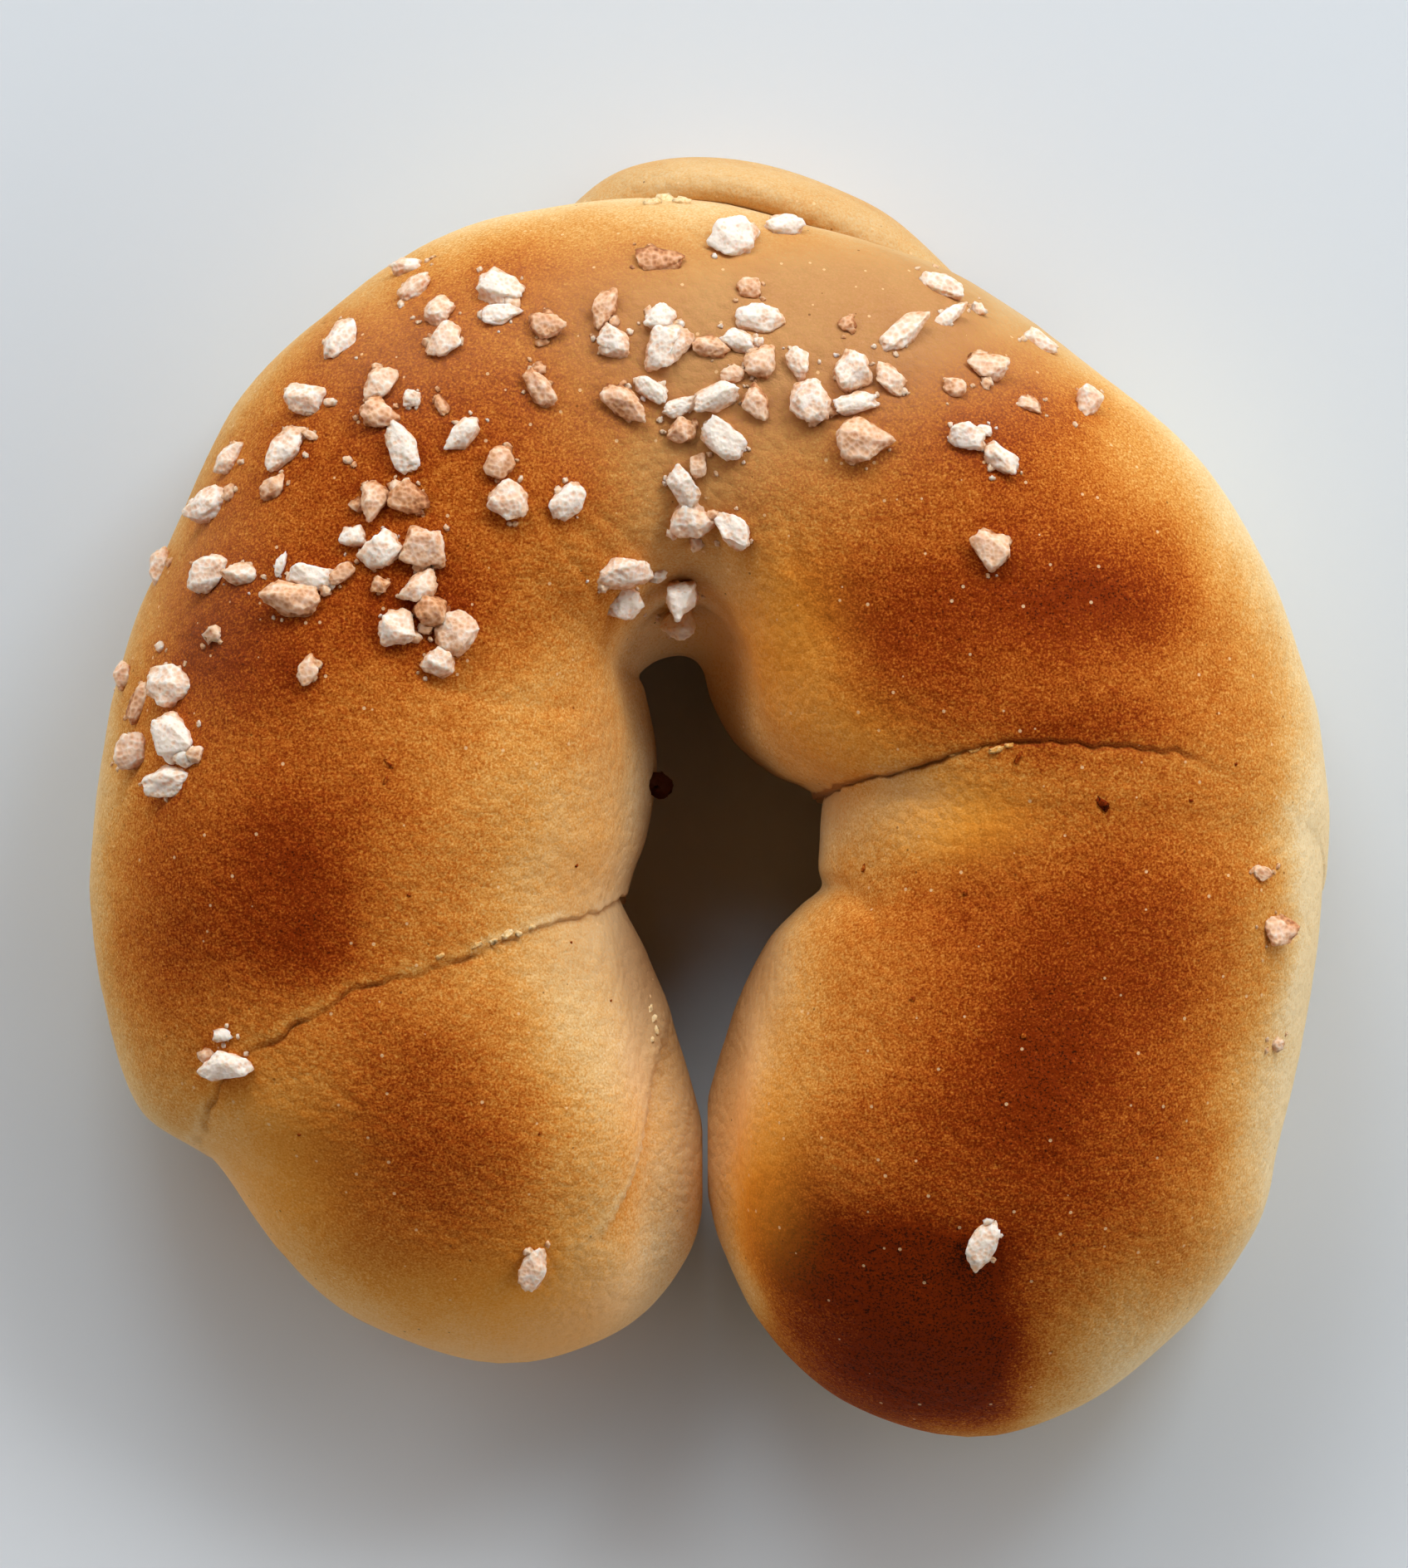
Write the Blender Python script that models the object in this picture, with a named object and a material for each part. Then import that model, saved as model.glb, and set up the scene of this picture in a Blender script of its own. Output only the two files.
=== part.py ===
"""Crescent roll with pearl sugar: one baked solid, curled until its two horns almost meet.

The dough is a loft. Its stations run from the tip of the left horn, round the crown, to the tip
of the right horn. Each station has a point on the outer edge, a point on the inner edge and a
height, and its section is a dome over a flat base. The rings of the loft follow the two seams
where the outer wrap of dough ends, so that each seam is a row of mesh edges. A low flap sticks
out behind the crown, and sugar nibs lie in clumps on top. Both are fused to the dough.

Sizes are in millimetres with +Z up, and the finished mesh is scaled to metres. The origin is the
middle of the roll's footprint, and the horns point towards -Y.
"""

import math
import random

import bmesh
import bpy
import numpy as np
from mathutils import Matrix, Vector, noise
from mathutils.bvhtree import BVHTree

METRES = 0.001

# Outer edge x, y, inner edge x, y and height of the top, from the left tip to the right tip.
STATIONS = [
    (-20.4, -54.6, -20.4, -54.6, 11.0),
    (-33.2, -50.6, -9.3, -51.7, 20.5),
    (-41.6, -43.6, -2.7, -45.2, 27.5),
    (-47.8, -35.2, 0.0, -35.6, 32.0),
    (-55.2, -29.6, -1.7, -25.2, 34.0),
    (-58.4, -19.2, -5.4, -15.4, 36.0),
    (-59.6, -10.0, -7.8, -9.4, 37.5),
    (-59.3, -1.6, -6.2, -3.6, 38.0),
    (-57.8, 7.2, -5.2, 3.6, 38.0),
    (-54.0, 20.4, -6.4, 10.0, 38.0),
    (-45.2, 38.0, -7.0, 11.8, 37.5),
    (-34.0, 48.8, -5.8, 13.0, 37.0),
    (-20.4, 55.6, -4.3, 13.6, 36.0),
    (-2.8, 57.8, -2.8, 13.8, 35.5),
    (11.6, 54.6, -1.6, 13.4, 36.0),
    (25.4, 49.4, -0.6, 12.2, 37.0),
    (43.6, 36.0, 0.2, 9.2, 38.0),
    (52.4, 24.0, 2.4, 5.2, 39.0),
    (57.6, 10.4, 6.0, 2.2, 39.0),
    (59.4, 0.8, 9.0, 0.8, 38.5),
    (59.6, -4.0, 9.4, -0.6, 38.0),
    (59.5, -9.6, 9.2, -8.6, 38.0),
    (58.7, -16.0, 5.0, -14.0, 38.0),
    (56.9, -24.0, 1.4, -22.4, 38.0),
    (54.9, -32.8, -0.9, -32.0, 37.5),
    (52.6, -41.6, 0.6, -41.6, 35.0),
    (44.4, -52.0, 5.6, -51.2, 29.0),
    (35.0, -58.9, 13.2, -58.4, 21.0),
    (24.8, -61.7, 24.8, -61.7, 11.5),
]
LAST = len(STATIONS) - 1

# Section
BELLY_HEIGHT = 13.0  # where the section is widest
TIP_BELLY_HEIGHT = 11.2  # the same at the two tips
DOME_SQUARENESS = 2.2  # superellipse exponent above the belly
BASE_SQUARENESS = 3.2  # and below it
TRAY_CUT = 1.3  # how far the section would reach below the tray that flattens it
TIP_UNDERCUT = 9.0  # length over which the base curves up to a tip
TIP_BELLY_LENGTH = 20.0  # length over which the belly sinks to its height at a tip
TIP_PLAIN = 5.0  # length over which seams and swells fade out towards a tip
NORMAL_STEP = 0.01  # in radians, for the slope of a section

# Seams of the outer wrap: station at each angle round the section, in degrees
# (the angle is 0 at the inner edge, 90 on top, 180 at the outer edge and 270 underneath)
LEFT_SEAM = {0: 6.0, 45: 5.6, 85: 5.0, 120: 4.4, 150: 3.5, 180: 3.05, 270: 4.3}
RIGHT_SEAM = {0: 19.9, 40: 18.6, 80: 18.05, 110: 18.4, 140: 19.05, 160: 20.0, 180: 20.9, 270: 20.5}
LIP_ROUND = 3.4  # length over which the wrap rounds down to its lip
LIP_DROP = 1.1  # how far it rounds down
SEAM_DEPTH = {0: 1.7, 85: 2.1, 140: 2.0, 180: 1.2, 270: 0.8}  # dough inside, below the wrap
SEAM_FADE = 5.0  # length over which that dough rises again

# Back flap: outer edge x, y, inner edge x, y and height of the top, from left to right
FLAP = [
    (-16.5, 53.0, -16.5, 53.0, 10.0),
    (-10.8, 59.3, -9.4, 50.6, 14.5),
    (-4.4, 61.6, -4.0, 50.0, 17.0),
    (3.6, 61.4, 2.4, 50.0, 18.0),
    (11.6, 59.0, 9.0, 48.6, 18.0),
    (18.8, 55.0, 15.4, 46.4, 16.5),
    (26.5, 46.5, 26.5, 46.5, 10.0),
]
FLAP_BELLY = 8.5
FLAP_UNDERCUT = 1.6  # how far from its ends the flap's base curves up, in stations
FLAP_RINGS = 18
FLAP_POINTS = 16
OVERHANG = 1.3  # how far the crown bulges out over the flap
OVERHANG_TOP = 24.5
OVERHANG_SPREAD = 4.5

# Fold where the right horn's next layer starts, on the inner side only
NOTCH_STATION = 21.0
NOTCH_DEPTH = 2.0
NOTCH_WIDTH = 1.8
NOTCH_END = 48.0  # angle where it has faded out

# Layer edge on the inner side of the left horn: angle of the edge at two stations
LAYER_LOW = (4.3, 8.0)
LAYER_HIGH = (2.3, 58.0)
LAYER_STEP = 0.9
LAYER_FADE = 0.35  # in radians round the section
LAYER_START = (-0.15, 0.15)  # share of the way along where the edge fades in
LAYER_END = (0.8, 1.1)  # and where it fades out

# Valley that runs from the hole up to the crown
VALLEY_X = -2.2
VALLEY_FOOT = 14.0
VALLEY_HEAD = 44.0
VALLEY_DEPTH = 3.4
VALLEY_WIDTH = (9.1, 4.9)  # at its head and at its foot
VALLEY_RISE = 10.0  # height above the belly over which it fades in

# Where the two horns almost meet
CROWN_STATION = 13.0
HORNS_BELOW = -20.0
PARTING_X = -0.5
HORN_GAP = 0.7

# Unevenness of the dough
SWELL_SIZE = 17.0
SWELL_HEIGHT = 0.7

# Rings from tip to seam, seam to seam and seam to tip, and points round each ring
RINGS = (15, 54, 20)
RING_POINTS = 38
CROWDING = 0.5  # how much closer together the rings are at seams and tips

# Sugar nibs: x, y and size of each, by the region of the roll that it lies on
SUGAR_NIBS = {
    "back of the crown": [
        (2.2, 53.7, 4.2), (6.9, 54.9, 3.8), (-5.2, 51.8, 3.8), (3.7, 48.7, 2.5), (4.6, 46.2, 3.5),
        (13.3, 45.6, 1.9), (18.4, 44.2, 4.0), (21.9, 49.2, 3.8), (22.9, 46.2, 3.3),
        (25.6, 46.9, 1.7),
    ],
    "middle of the crown": [
        (-0.3, 43.5, 2.1), (2.5, 43.7, 3.1), (4.9, 41.6, 3.3), (8.3, 41.8, 2.9), (4.4, 38.4, 3.2),
        (0.7, 38.8, 3.9), (-2.9, 37.5, 2.5), (1.1, 34.5, 4.5), (-2.7, 35.2, 2.6),
        (9.7, 38.0, 4.2), (13.8, 41.4, 4.0), (17.3, 39.9, 2.8), (14.3, 37.7, 3.1),
        (14.1, 33.9, 4.8),
    ],
    "valley": [
        (-1.1, 31.9, 2.1), (-2.6, 29.6, 3.5), (-1.9, 26.1, 4.4), (2.0, 25.8, 3.6),
        (-8.9, 21.8, 4.7), (-8.9, 18.3, 3.7), (-5.1, 21.4, 1.5), (-2.7, 19.3, 3.3),
        (-2.7, 16.3, 3.0),
    ],
    "left of the crown": [
        (-10.4, 46.9, 3.1), (-9.2, 43.6, 3.5), (-5.0, 46.1, 3.0), (-4.7, 42.9, 4.6),
        (-8.6, 38.1, 3.7), (-5.5, 39.9, 2.8), (-15.6, 45.1, 3.2), (-16.6, 39.4, 3.1),
        (-20.2, 49.3, 4.0), (-20.3, 46.0, 2.5), (-28.6, 49.7, 3.9), (-26.1, 46.7, 3.2),
        (-25.6, 43.6, 3.3), (-35.4, 44.0, 3.5),
    ],
    "left shoulder": [
        (-38.5, 38.6, 3.8), (-31.9, 40.1, 3.0), (-31.7, 36.8, 3.1), (-28.9, 38.5, 1.9),
        (-26.0, 37.9, 1.7), (-40.7, 33.4, 4.2), (-38.0, 35.4, 1.5), (-29.4, 33.2, 3.6),
        (-24.0, 35.1, 3.1), (-20.3, 32.4, 3.1), (-19.5, 28.4, 3.7), (-13.9, 28.4, 3.5),
        (-46.3, 32.4, 2.6), (-42.2, 29.6, 2.3), (-47.8, 28.2, 3.6),
    ],
    "left arm": [
        (-32.7, 28.5, 3.4), (-29.2, 29.0, 3.2), (-34.4, 25.2, 2.4), (-31.3, 24.3, 3.8),
        (-27.2, 24.3, 4.0), (-27.9, 20.1, 3.8), (-26.2, 17.4, 2.6), (-30.4, 16.0, 3.9),
        (-24.2, 15.6, 3.8), (-26.5, 12.6, 3.0), (-38.7, 12.1, 2.4), (-48.2, 21.6, 3.3),
        (-45.1, 21.3, 2.5), (-38.3, 21.8, 3.4), (-41.4, 22.9, 1.6), (-39.6, 18.5, 4.2),
        (-35.3, 21.8, 2.0), (-47.8, 15.7, 1.4),
    ],
    "left flank": [
        (-51.8, 10.9, 3.8), (-51.6, 6.2, 4.6), (-54.9, 9.0, 3.1), (-55.4, 4.7, 3.3),
        (-52.4, 1.9, 3.6), (-52.9, 21.9, 2.8), (-56.3, 11.4, 2.4),
    ],
    "right shoulder": [
        (31.4, 43.8, 3.0), (26.6, 41.2, 3.4), (23.7, 39.2, 2.1), (30.6, 37.8, 2.2),
        (35.8, 37.8, 3.1), (24.8, 34.8, 3.1), (27.0, 36.2, 1.4), (28.2, 32.2, 3.3),
        (27.4, 23.7, 4.0),
    ],
    "horns": [
        (53.0, -7.3, 1.9), (54.4, -12.6, 3.2), (54.4, -23.8, 1.4), (-46.8, -25.8, 4.2),
        (-47.0, -22.6, 1.4), (-17.1, -45.2, 3.4), (26.2, -43.0, 3.9),
    ],
}
SUGAR_SEED = 11
NIB_LENGTH = (1.0, 1.22)  # length over size, drawn between these
NIB_WIDTH = (0.8, 0.96)  # width over size
NIB_HEIGHT = (0.66, 0.84)  # height over size
NIB_ROUGHNESS = 0.16  # how far a corner lies off the plain form
NIB_SINK = 0.20  # share of its height that lies below the crust
ABOVE_ROLL = 100.0  # height from which a nib drops onto the crust

CRUST_COLOUR = (0.52, 0.22, 0.07, 1.0)
CRUST_ROUGHNESS = 0.5
SHARP_EDGE = math.radians(40.0)  # sharper edges than this are shaded as edges


def clear_scene():
    for item in list(bpy.data.objects):
        bpy.data.objects.remove(item, do_unlink=True)


def crust_material():
    material = bpy.data.materials.new("crust")
    material.use_nodes = True
    shader = material.node_tree.nodes["Principled BSDF"]
    shader.inputs["Base Color"].default_value = CRUST_COLOUR
    shader.inputs["Roughness"].default_value = CRUST_ROUGHNESS
    shader.inputs["Metallic"].default_value = 0.0
    return material


def smooth_step(low, high, value):
    share = np.clip((value - low) / (high - low), 0.0, 1.0)
    return share * share * (3.0 - 2.0 * share)


def spline(points, place):
    """Catmull-Rom spline: points has one extra row at each end, and place 0 is row 1."""
    start = np.clip(np.floor(place).astype(int), 0, len(points) - 4)
    f = (place - start)[..., None]
    before, low, high, after = (points[start + k] for k in range(4))
    linear = (high - before) * f
    square = (2.0 * before - 5.0 * low + 4.0 * high - after) * f**2
    cube = (3.0 * low - before - 3.0 * high + after) * f**3
    return 0.5 * (2.0 * low + linear + square + cube)


def edge_and_height_tables(stations):
    """Outer edge, inner edge and heights, each with an extra row at both ends.

    The edges run through each tip into one another, so the ends are round.
    """
    rows = np.array(stations)
    outer, inner, height = rows[:, 0:2], rows[:, 2:4], rows[:, 4:5]
    outer_table = np.vstack([inner[1], outer, inner[-2]])
    inner_table = np.vstack([outer[1], inner, outer[-2]])
    height_table = np.vstack([2.0 * height[0] - height[1], height, 2.0 * height[-1] - height[-2]])
    return outer_table, inner_table, height_table


OUTER, INNER, HEIGHT = edge_and_height_tables(STATIONS)


def length_table():
    """Length along the middle of the roll at closely spaced stations."""
    stations = np.linspace(0.0, LAST, 40 * LAST + 1)
    middle = 0.5 * (spline(OUTER, stations) + spline(INNER, stations))
    steps = np.linalg.norm(np.diff(middle, axis=0), axis=1)
    return stations, np.concatenate([[0.0], np.cumsum(steps)])


STATION_AT, LENGTH_AT = length_table()


def length_at(station):
    return np.interp(station, STATION_AT, LENGTH_AT)


def station_at(length):
    return np.interp(length, LENGTH_AT, STATION_AT)


def round_section(values, angle):
    """Value at each angle round the section, from its few named angles in degrees."""
    degrees = np.array(sorted(values), float)
    named = np.array([values[d] for d in sorted(values)])
    degrees = np.concatenate([degrees, degrees[:1] + 360.0])
    named = np.concatenate([named, named[:1]])
    turn = np.degrees(angle) % 360.0
    index = np.searchsorted(degrees, turn, side="right") - 1
    share = (turn - degrees[index]) / (degrees[index + 1] - degrees[index])
    eased = 0.5 * share + 0.5 * share * share * (3.0 - 2.0 * share)
    return named[index] * (1.0 - eased) + named[index + 1] * eased


def ring_lengths(angle):
    """Length along the roll of each ring at one angle, closer together at seams and tips."""
    marks = [0.0, round_section(LEFT_SEAM, angle), round_section(RIGHT_SEAM, angle), LAST]
    lengths = [length_at(mark) for mark in marks]
    rings = [lengths[0]]
    for count, start, end in zip(RINGS, lengths, lengths[1:]):
        for k in range(1, count + 1):
            share = k / count
            eased = share - CROWDING * math.sin(2.0 * math.pi * share) / (2.0 * math.pi)
            rings.append(start + (end - start) * eased)
    return rings


def belly_height(length):
    end = np.minimum(length, LENGTH_AT[-1] - length)
    return TIP_BELLY_HEIGHT + (BELLY_HEIGHT - TIP_BELLY_HEIGHT) * smooth_step(0.0, TIP_BELLY_LENGTH, end)


def dome_section(tables, station, angle, belly, undercut):
    """Points of a dome over a flat base, and their share across from -1 to 1."""
    outer, inner, top = (spline(table, station) for table in tables)
    cosine, sine = np.cos(angle), np.sin(angle)
    power = np.where(sine >= 0.0, 2.0 / DOME_SQUARENESS, 2.0 / BASE_SQUARENESS)
    across = np.sign(cosine) * np.abs(cosine) ** power
    rise = np.abs(sine) ** power
    base_drop = (belly + TRAY_CUT) * undercut
    height = np.where(sine >= 0.0, belly + (top[..., 0] - belly) * rise, belly - base_drop * rise)
    plan = 0.5 * (outer + inner) + 0.5 * (inner - outer) * across[..., None]
    points = np.concatenate([plan, np.maximum(height, 0.0)[..., None]], axis=-1)
    return points, across


def plain_surface(station, angle):
    """The loft before its seams and folds: points, and their share across from -1 to 1."""
    length = length_at(station)
    from_tip = np.minimum(length, LENGTH_AT[-1] - length)
    open_share = 1.0 - np.clip(from_tip / TIP_UNDERCUT, 0.0, 1.0)
    undercut = np.sqrt(1.0 - open_share**2)
    return dome_section((OUTER, INNER, HEIGHT), station, angle, belly_height(length), undercut)


def outward_directions(station):
    """Plan direction from the inner edge to the outer edge at each station."""
    outward = spline(OUTER, station) - spline(INNER, station)
    return outward / np.maximum(np.linalg.norm(outward, axis=-1, keepdims=True), 1e-9)


def section_normals(station, angle):
    """Normals that stay in the upright plane of each station, so that rings never cross."""
    ahead, _ = plain_surface(station, angle + NORMAL_STEP)
    behind, _ = plain_surface(station, angle - NORMAL_STEP)
    turn = behind - ahead
    outward = outward_directions(station)
    along_outward = (turn[..., 0:2] * outward).sum(axis=-1)
    normals = np.concatenate([outward * turn[..., 2:3], -along_outward[..., None]], axis=-1)
    return normals / np.maximum(np.linalg.norm(normals, axis=-1, keepdims=True), 1e-9)


def seam_drop(beyond, angle):
    """Depth below the plain form, for a distance beyond a seam towards the tip."""
    inside = np.clip(1.0 + beyond / LIP_ROUND, 0.0, 1.0)
    lip = LIP_DROP * (1.0 - np.sqrt(1.0 - inside**2))
    under = round_section(SEAM_DEPTH, angle) * np.exp(-np.maximum(beyond, 0.0) / SEAM_FADE)
    return np.where(beyond < 0.0, lip, under)


def notch_drop(station, angle):
    turn = np.degrees(angle)
    signed = np.where(turn > 180.0, turn - 360.0, turn)
    fade = 1.0 - smooth_step(0.0, NOTCH_END, np.abs(signed))
    away = (length_at(station) - length_at(NOTCH_STATION)) / NOTCH_WIDTH
    return NOTCH_DEPTH * fade * np.exp(-(away**2))


def layer_drop(station, angle):
    """The layer below the edge on the left horn's inner side lies a step further in."""
    share = (LAYER_LOW[0] - station) / (LAYER_LOW[0] - LAYER_HIGH[0])
    edge = np.radians(LAYER_LOW[1] + share * (LAYER_HIGH[1] - LAYER_LOW[1]))
    signed = np.where(angle > math.pi, angle - 2.0 * math.pi, angle)
    below = edge - signed
    window = smooth_step(*LAYER_START, share) * (1.0 - smooth_step(*LAYER_END, share))
    return LAYER_STEP * window * np.where(below > 0.0, np.exp(-below / LAYER_FADE), 0.0)


def valley_drop(points):
    x, y = points[..., 0], points[..., 1]
    share = np.clip((VALLEY_HEAD - y) / (VALLEY_HEAD - VALLEY_FOOT), 0.0, 1.0)
    width = VALLEY_WIDTH[0] + (VALLEY_WIDTH[1] - VALLEY_WIDTH[0]) * share
    on_top = smooth_step(BELLY_HEIGHT, BELLY_HEIGHT + VALLEY_RISE, points[..., 2])
    return VALLEY_DEPTH * share**1.5 * np.exp(-(((x - VALLEY_X) / width) ** 2)) * on_top


def overhang(points, across):
    """How far the back of the crown bulges out above the flap."""
    x, z = points[..., 0], points[..., 2]
    share = np.clip((x - FLAP[0][0]) / (FLAP[-1][0] - FLAP[0][0]), 0.0, 1.0)
    behind = np.sin(math.pi * share) * (across < 0.0) * across**2 * (points[..., 1] > 0.0)
    return OVERHANG * behind * np.exp(-(((z - OVERHANG_TOP) / OVERHANG_SPREAD) ** 2))


def swell(points):
    heights = [
        SWELL_HEIGHT * noise.noise(Vector(point) / SWELL_SIZE)
        for point in points.reshape(-1, 3)
    ]
    return np.array(heights).reshape(points.shape[:2])


def part_horns(points, station):
    """Presses the horns flat where they would meet, and leaves a hair's gap between them."""
    left_horn = (station < CROWN_STATION) & (points[..., 1] < HORNS_BELOW)
    right_horn = (station > CROWN_STATION) & (points[..., 1] < HORNS_BELOW)
    x = points[..., 0]
    x = np.where(left_horn, np.minimum(x, PARTING_X - HORN_GAP / 2.0), x)
    points[..., 0] = np.where(right_horn, np.maximum(x, PARTING_X + HORN_GAP / 2.0), x)
    return points


def inward_shift(station, angle, across, drop):
    """A drop along the normals above the belly, and level below it, so the base stays flat."""
    above = -section_normals(station, angle)
    level = outward_directions(station) * (across**3)[..., None]
    below = np.concatenate([level, np.zeros(level.shape[:-1] + (1,))], axis=-1)
    return np.where((np.sin(angle) >= 0.0)[..., None], above, below) * drop[..., None]


def dough_points():
    """Rings of the finished dough, as an array of ring, point round the ring, and x, y, z."""
    angles = np.arange(RING_POINTS) * 2.0 * math.pi / RING_POINTS
    lengths = np.array([ring_lengths(angle) for angle in angles]).T
    station = station_at(lengths)
    angle = np.broadcast_to(angles, station.shape)
    points, across = plain_surface(station, angle)
    left = length_at(round_section(LEFT_SEAM, angle)) - lengths
    right = lengths - length_at(round_section(RIGHT_SEAM, angle))
    drop = seam_drop(left, angle) + seam_drop(right, angle)
    drop += notch_drop(station, angle) + layer_drop(station, angle) + valley_drop(points)
    drop -= swell(points) + overhang(points, across)
    from_tip = np.minimum(lengths, LENGTH_AT[-1] - lengths)
    drop *= smooth_step(0.0, TIP_PLAIN, from_tip)
    return part_horns(points + inward_shift(station, angle, across, drop), station)


def flap_points():
    """Rings of the flap, from its left end to its right end."""
    turns = np.linspace(0.0, math.pi, FLAP_RINGS + 1)
    stations = 0.5 * (1.0 - np.cos(turns)) * (len(FLAP) - 1)
    angles = np.arange(FLAP_POINTS) * 2.0 * math.pi / FLAP_POINTS
    station, angle = np.meshgrid(stations, angles, indexing="ij")
    from_end = np.minimum(station, len(FLAP) - 1 - station)
    undercut = np.sqrt(1.0 - (1.0 - np.clip(from_end / FLAP_UNDERCUT, 0.0, 1.0)) ** 2)
    return dome_section(edge_and_height_tables(FLAP), station, angle, FLAP_BELLY, undercut)[0]


def loft_mesh(name, rings):
    """One closed mesh from rings whose first and last ring are single points."""
    mesh = bpy.data.meshes.new(name)
    build = bmesh.new()
    first = build.verts.new(rings[0].mean(axis=0))
    last = build.verts.new(rings[-1].mean(axis=0))
    loops = [[build.verts.new(point) for point in ring] for ring in rings[1:-1]]
    count = len(loops[0])
    for k in range(count):
        following = (k + 1) % count
        build.faces.new((first, loops[0][following], loops[0][k]))
        build.faces.new((last, loops[-1][k], loops[-1][following]))
        for near, far in zip(loops, loops[1:]):
            build.faces.new((near[k], near[following], far[following], far[k]))
    bmesh.ops.recalc_face_normals(build, faces=build.faces)
    bmesh.ops.triangulate(build, faces=build.faces)
    build.to_mesh(mesh)
    build.free()
    return mesh


def nib_object(name, place, size, draw, surface):
    """A rough lump of sugar, pressed a little way into the crust below it."""
    above = Vector((place[0], place[1], ABOVE_ROLL))
    hit, normal, _, _ = surface.ray_cast(above, Vector((0.0, 0.0, -1.0)))
    sizes = [size * draw.uniform(*share) for share in (NIB_LENGTH, NIB_WIDTH, NIB_HEIGHT)]
    spin = draw.uniform(0.0, math.pi)
    build = bmesh.new()
    bmesh.ops.create_icosphere(build, subdivisions=1, radius=0.5)
    for corner in build.verts:
        corner.co *= 1.0 + NIB_ROUGHNESS * draw.uniform(-1.0, 1.0)
    bmesh.ops.scale(build, vec=sizes, verts=build.verts)
    turn = normal.to_track_quat("Z", "Y").to_matrix().to_4x4() @ Matrix.Rotation(spin, 4, "Z")
    centre = hit + normal * sizes[2] * (0.5 - NIB_SINK)
    bmesh.ops.transform(build, matrix=Matrix.Translation(centre) @ turn, verts=build.verts)
    mesh = bpy.data.meshes.new(name)
    build.to_mesh(mesh)
    build.free()
    return bpy.data.objects.new(name, mesh)


def fuse(body, pieces):
    """Joins a collection of pieces to the body with one union, and removes them."""
    union = body.modifiers.new("flap_and_sugar", "BOOLEAN")
    union.operation = "UNION"
    union.operand_type = "COLLECTION"
    union.collection = pieces
    union.solver = "EXACT"
    graph = bpy.context.evaluated_depsgraph_get()
    joined = bpy.data.meshes.new_from_object(body.evaluated_get(graph))
    body.modifiers.clear()
    body.data = joined
    for piece in list(pieces.objects):
        bpy.data.objects.remove(piece, do_unlink=True)
    bpy.data.collections.remove(pieces)


def crescent_roll():
    parts = bpy.data.collections.new("crescent_roll_parts")
    bpy.context.scene.collection.children.link(parts)
    roll = bpy.data.objects.new("crescent_roll", loft_mesh("crescent_roll", dough_points()))
    parts.objects.link(roll)

    added = bpy.data.collections.new("flap_and_sugar")
    bpy.context.scene.collection.children.link(added)
    added.objects.link(bpy.data.objects.new("flap", loft_mesh("flap", flap_points())))
    surface = BVHTree.FromObject(roll, bpy.context.evaluated_depsgraph_get())
    draw = random.Random(SUGAR_SEED)
    for region, nibs in SUGAR_NIBS.items():
        for x, y, size in nibs:
            added.objects.link(nib_object(f"nib, {region}", (x, y), size, draw, surface))
    fuse(roll, added)

    roll.data.transform(Matrix.Scale(METRES, 4))
    roll.data.materials.clear()
    roll.data.materials.append(crust_material())
    roll.data.shade_smooth()
    roll.data.set_sharp_from_angle(angle=SHARP_EDGE)
    return roll


clear_scene()
crescent_roll()
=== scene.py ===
import math
import random
from functools import partial

import bmesh
import bpy
import numpy as np
from mathutils import Matrix, Vector, noise
from mathutils.bvhtree import BVHTree


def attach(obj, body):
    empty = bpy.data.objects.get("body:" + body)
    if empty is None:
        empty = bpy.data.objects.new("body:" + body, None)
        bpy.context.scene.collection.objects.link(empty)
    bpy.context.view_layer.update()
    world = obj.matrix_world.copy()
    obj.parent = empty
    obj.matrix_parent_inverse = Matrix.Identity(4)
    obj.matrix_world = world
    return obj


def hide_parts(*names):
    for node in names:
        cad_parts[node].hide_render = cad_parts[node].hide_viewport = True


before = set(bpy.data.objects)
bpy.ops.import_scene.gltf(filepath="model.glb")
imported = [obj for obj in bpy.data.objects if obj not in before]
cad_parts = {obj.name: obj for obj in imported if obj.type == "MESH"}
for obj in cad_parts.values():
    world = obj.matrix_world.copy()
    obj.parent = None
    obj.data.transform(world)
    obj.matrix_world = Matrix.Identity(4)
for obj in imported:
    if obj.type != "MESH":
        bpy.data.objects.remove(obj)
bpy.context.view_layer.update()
metresPerMm = 0.001  # everything below is worked out in millimetres


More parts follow.
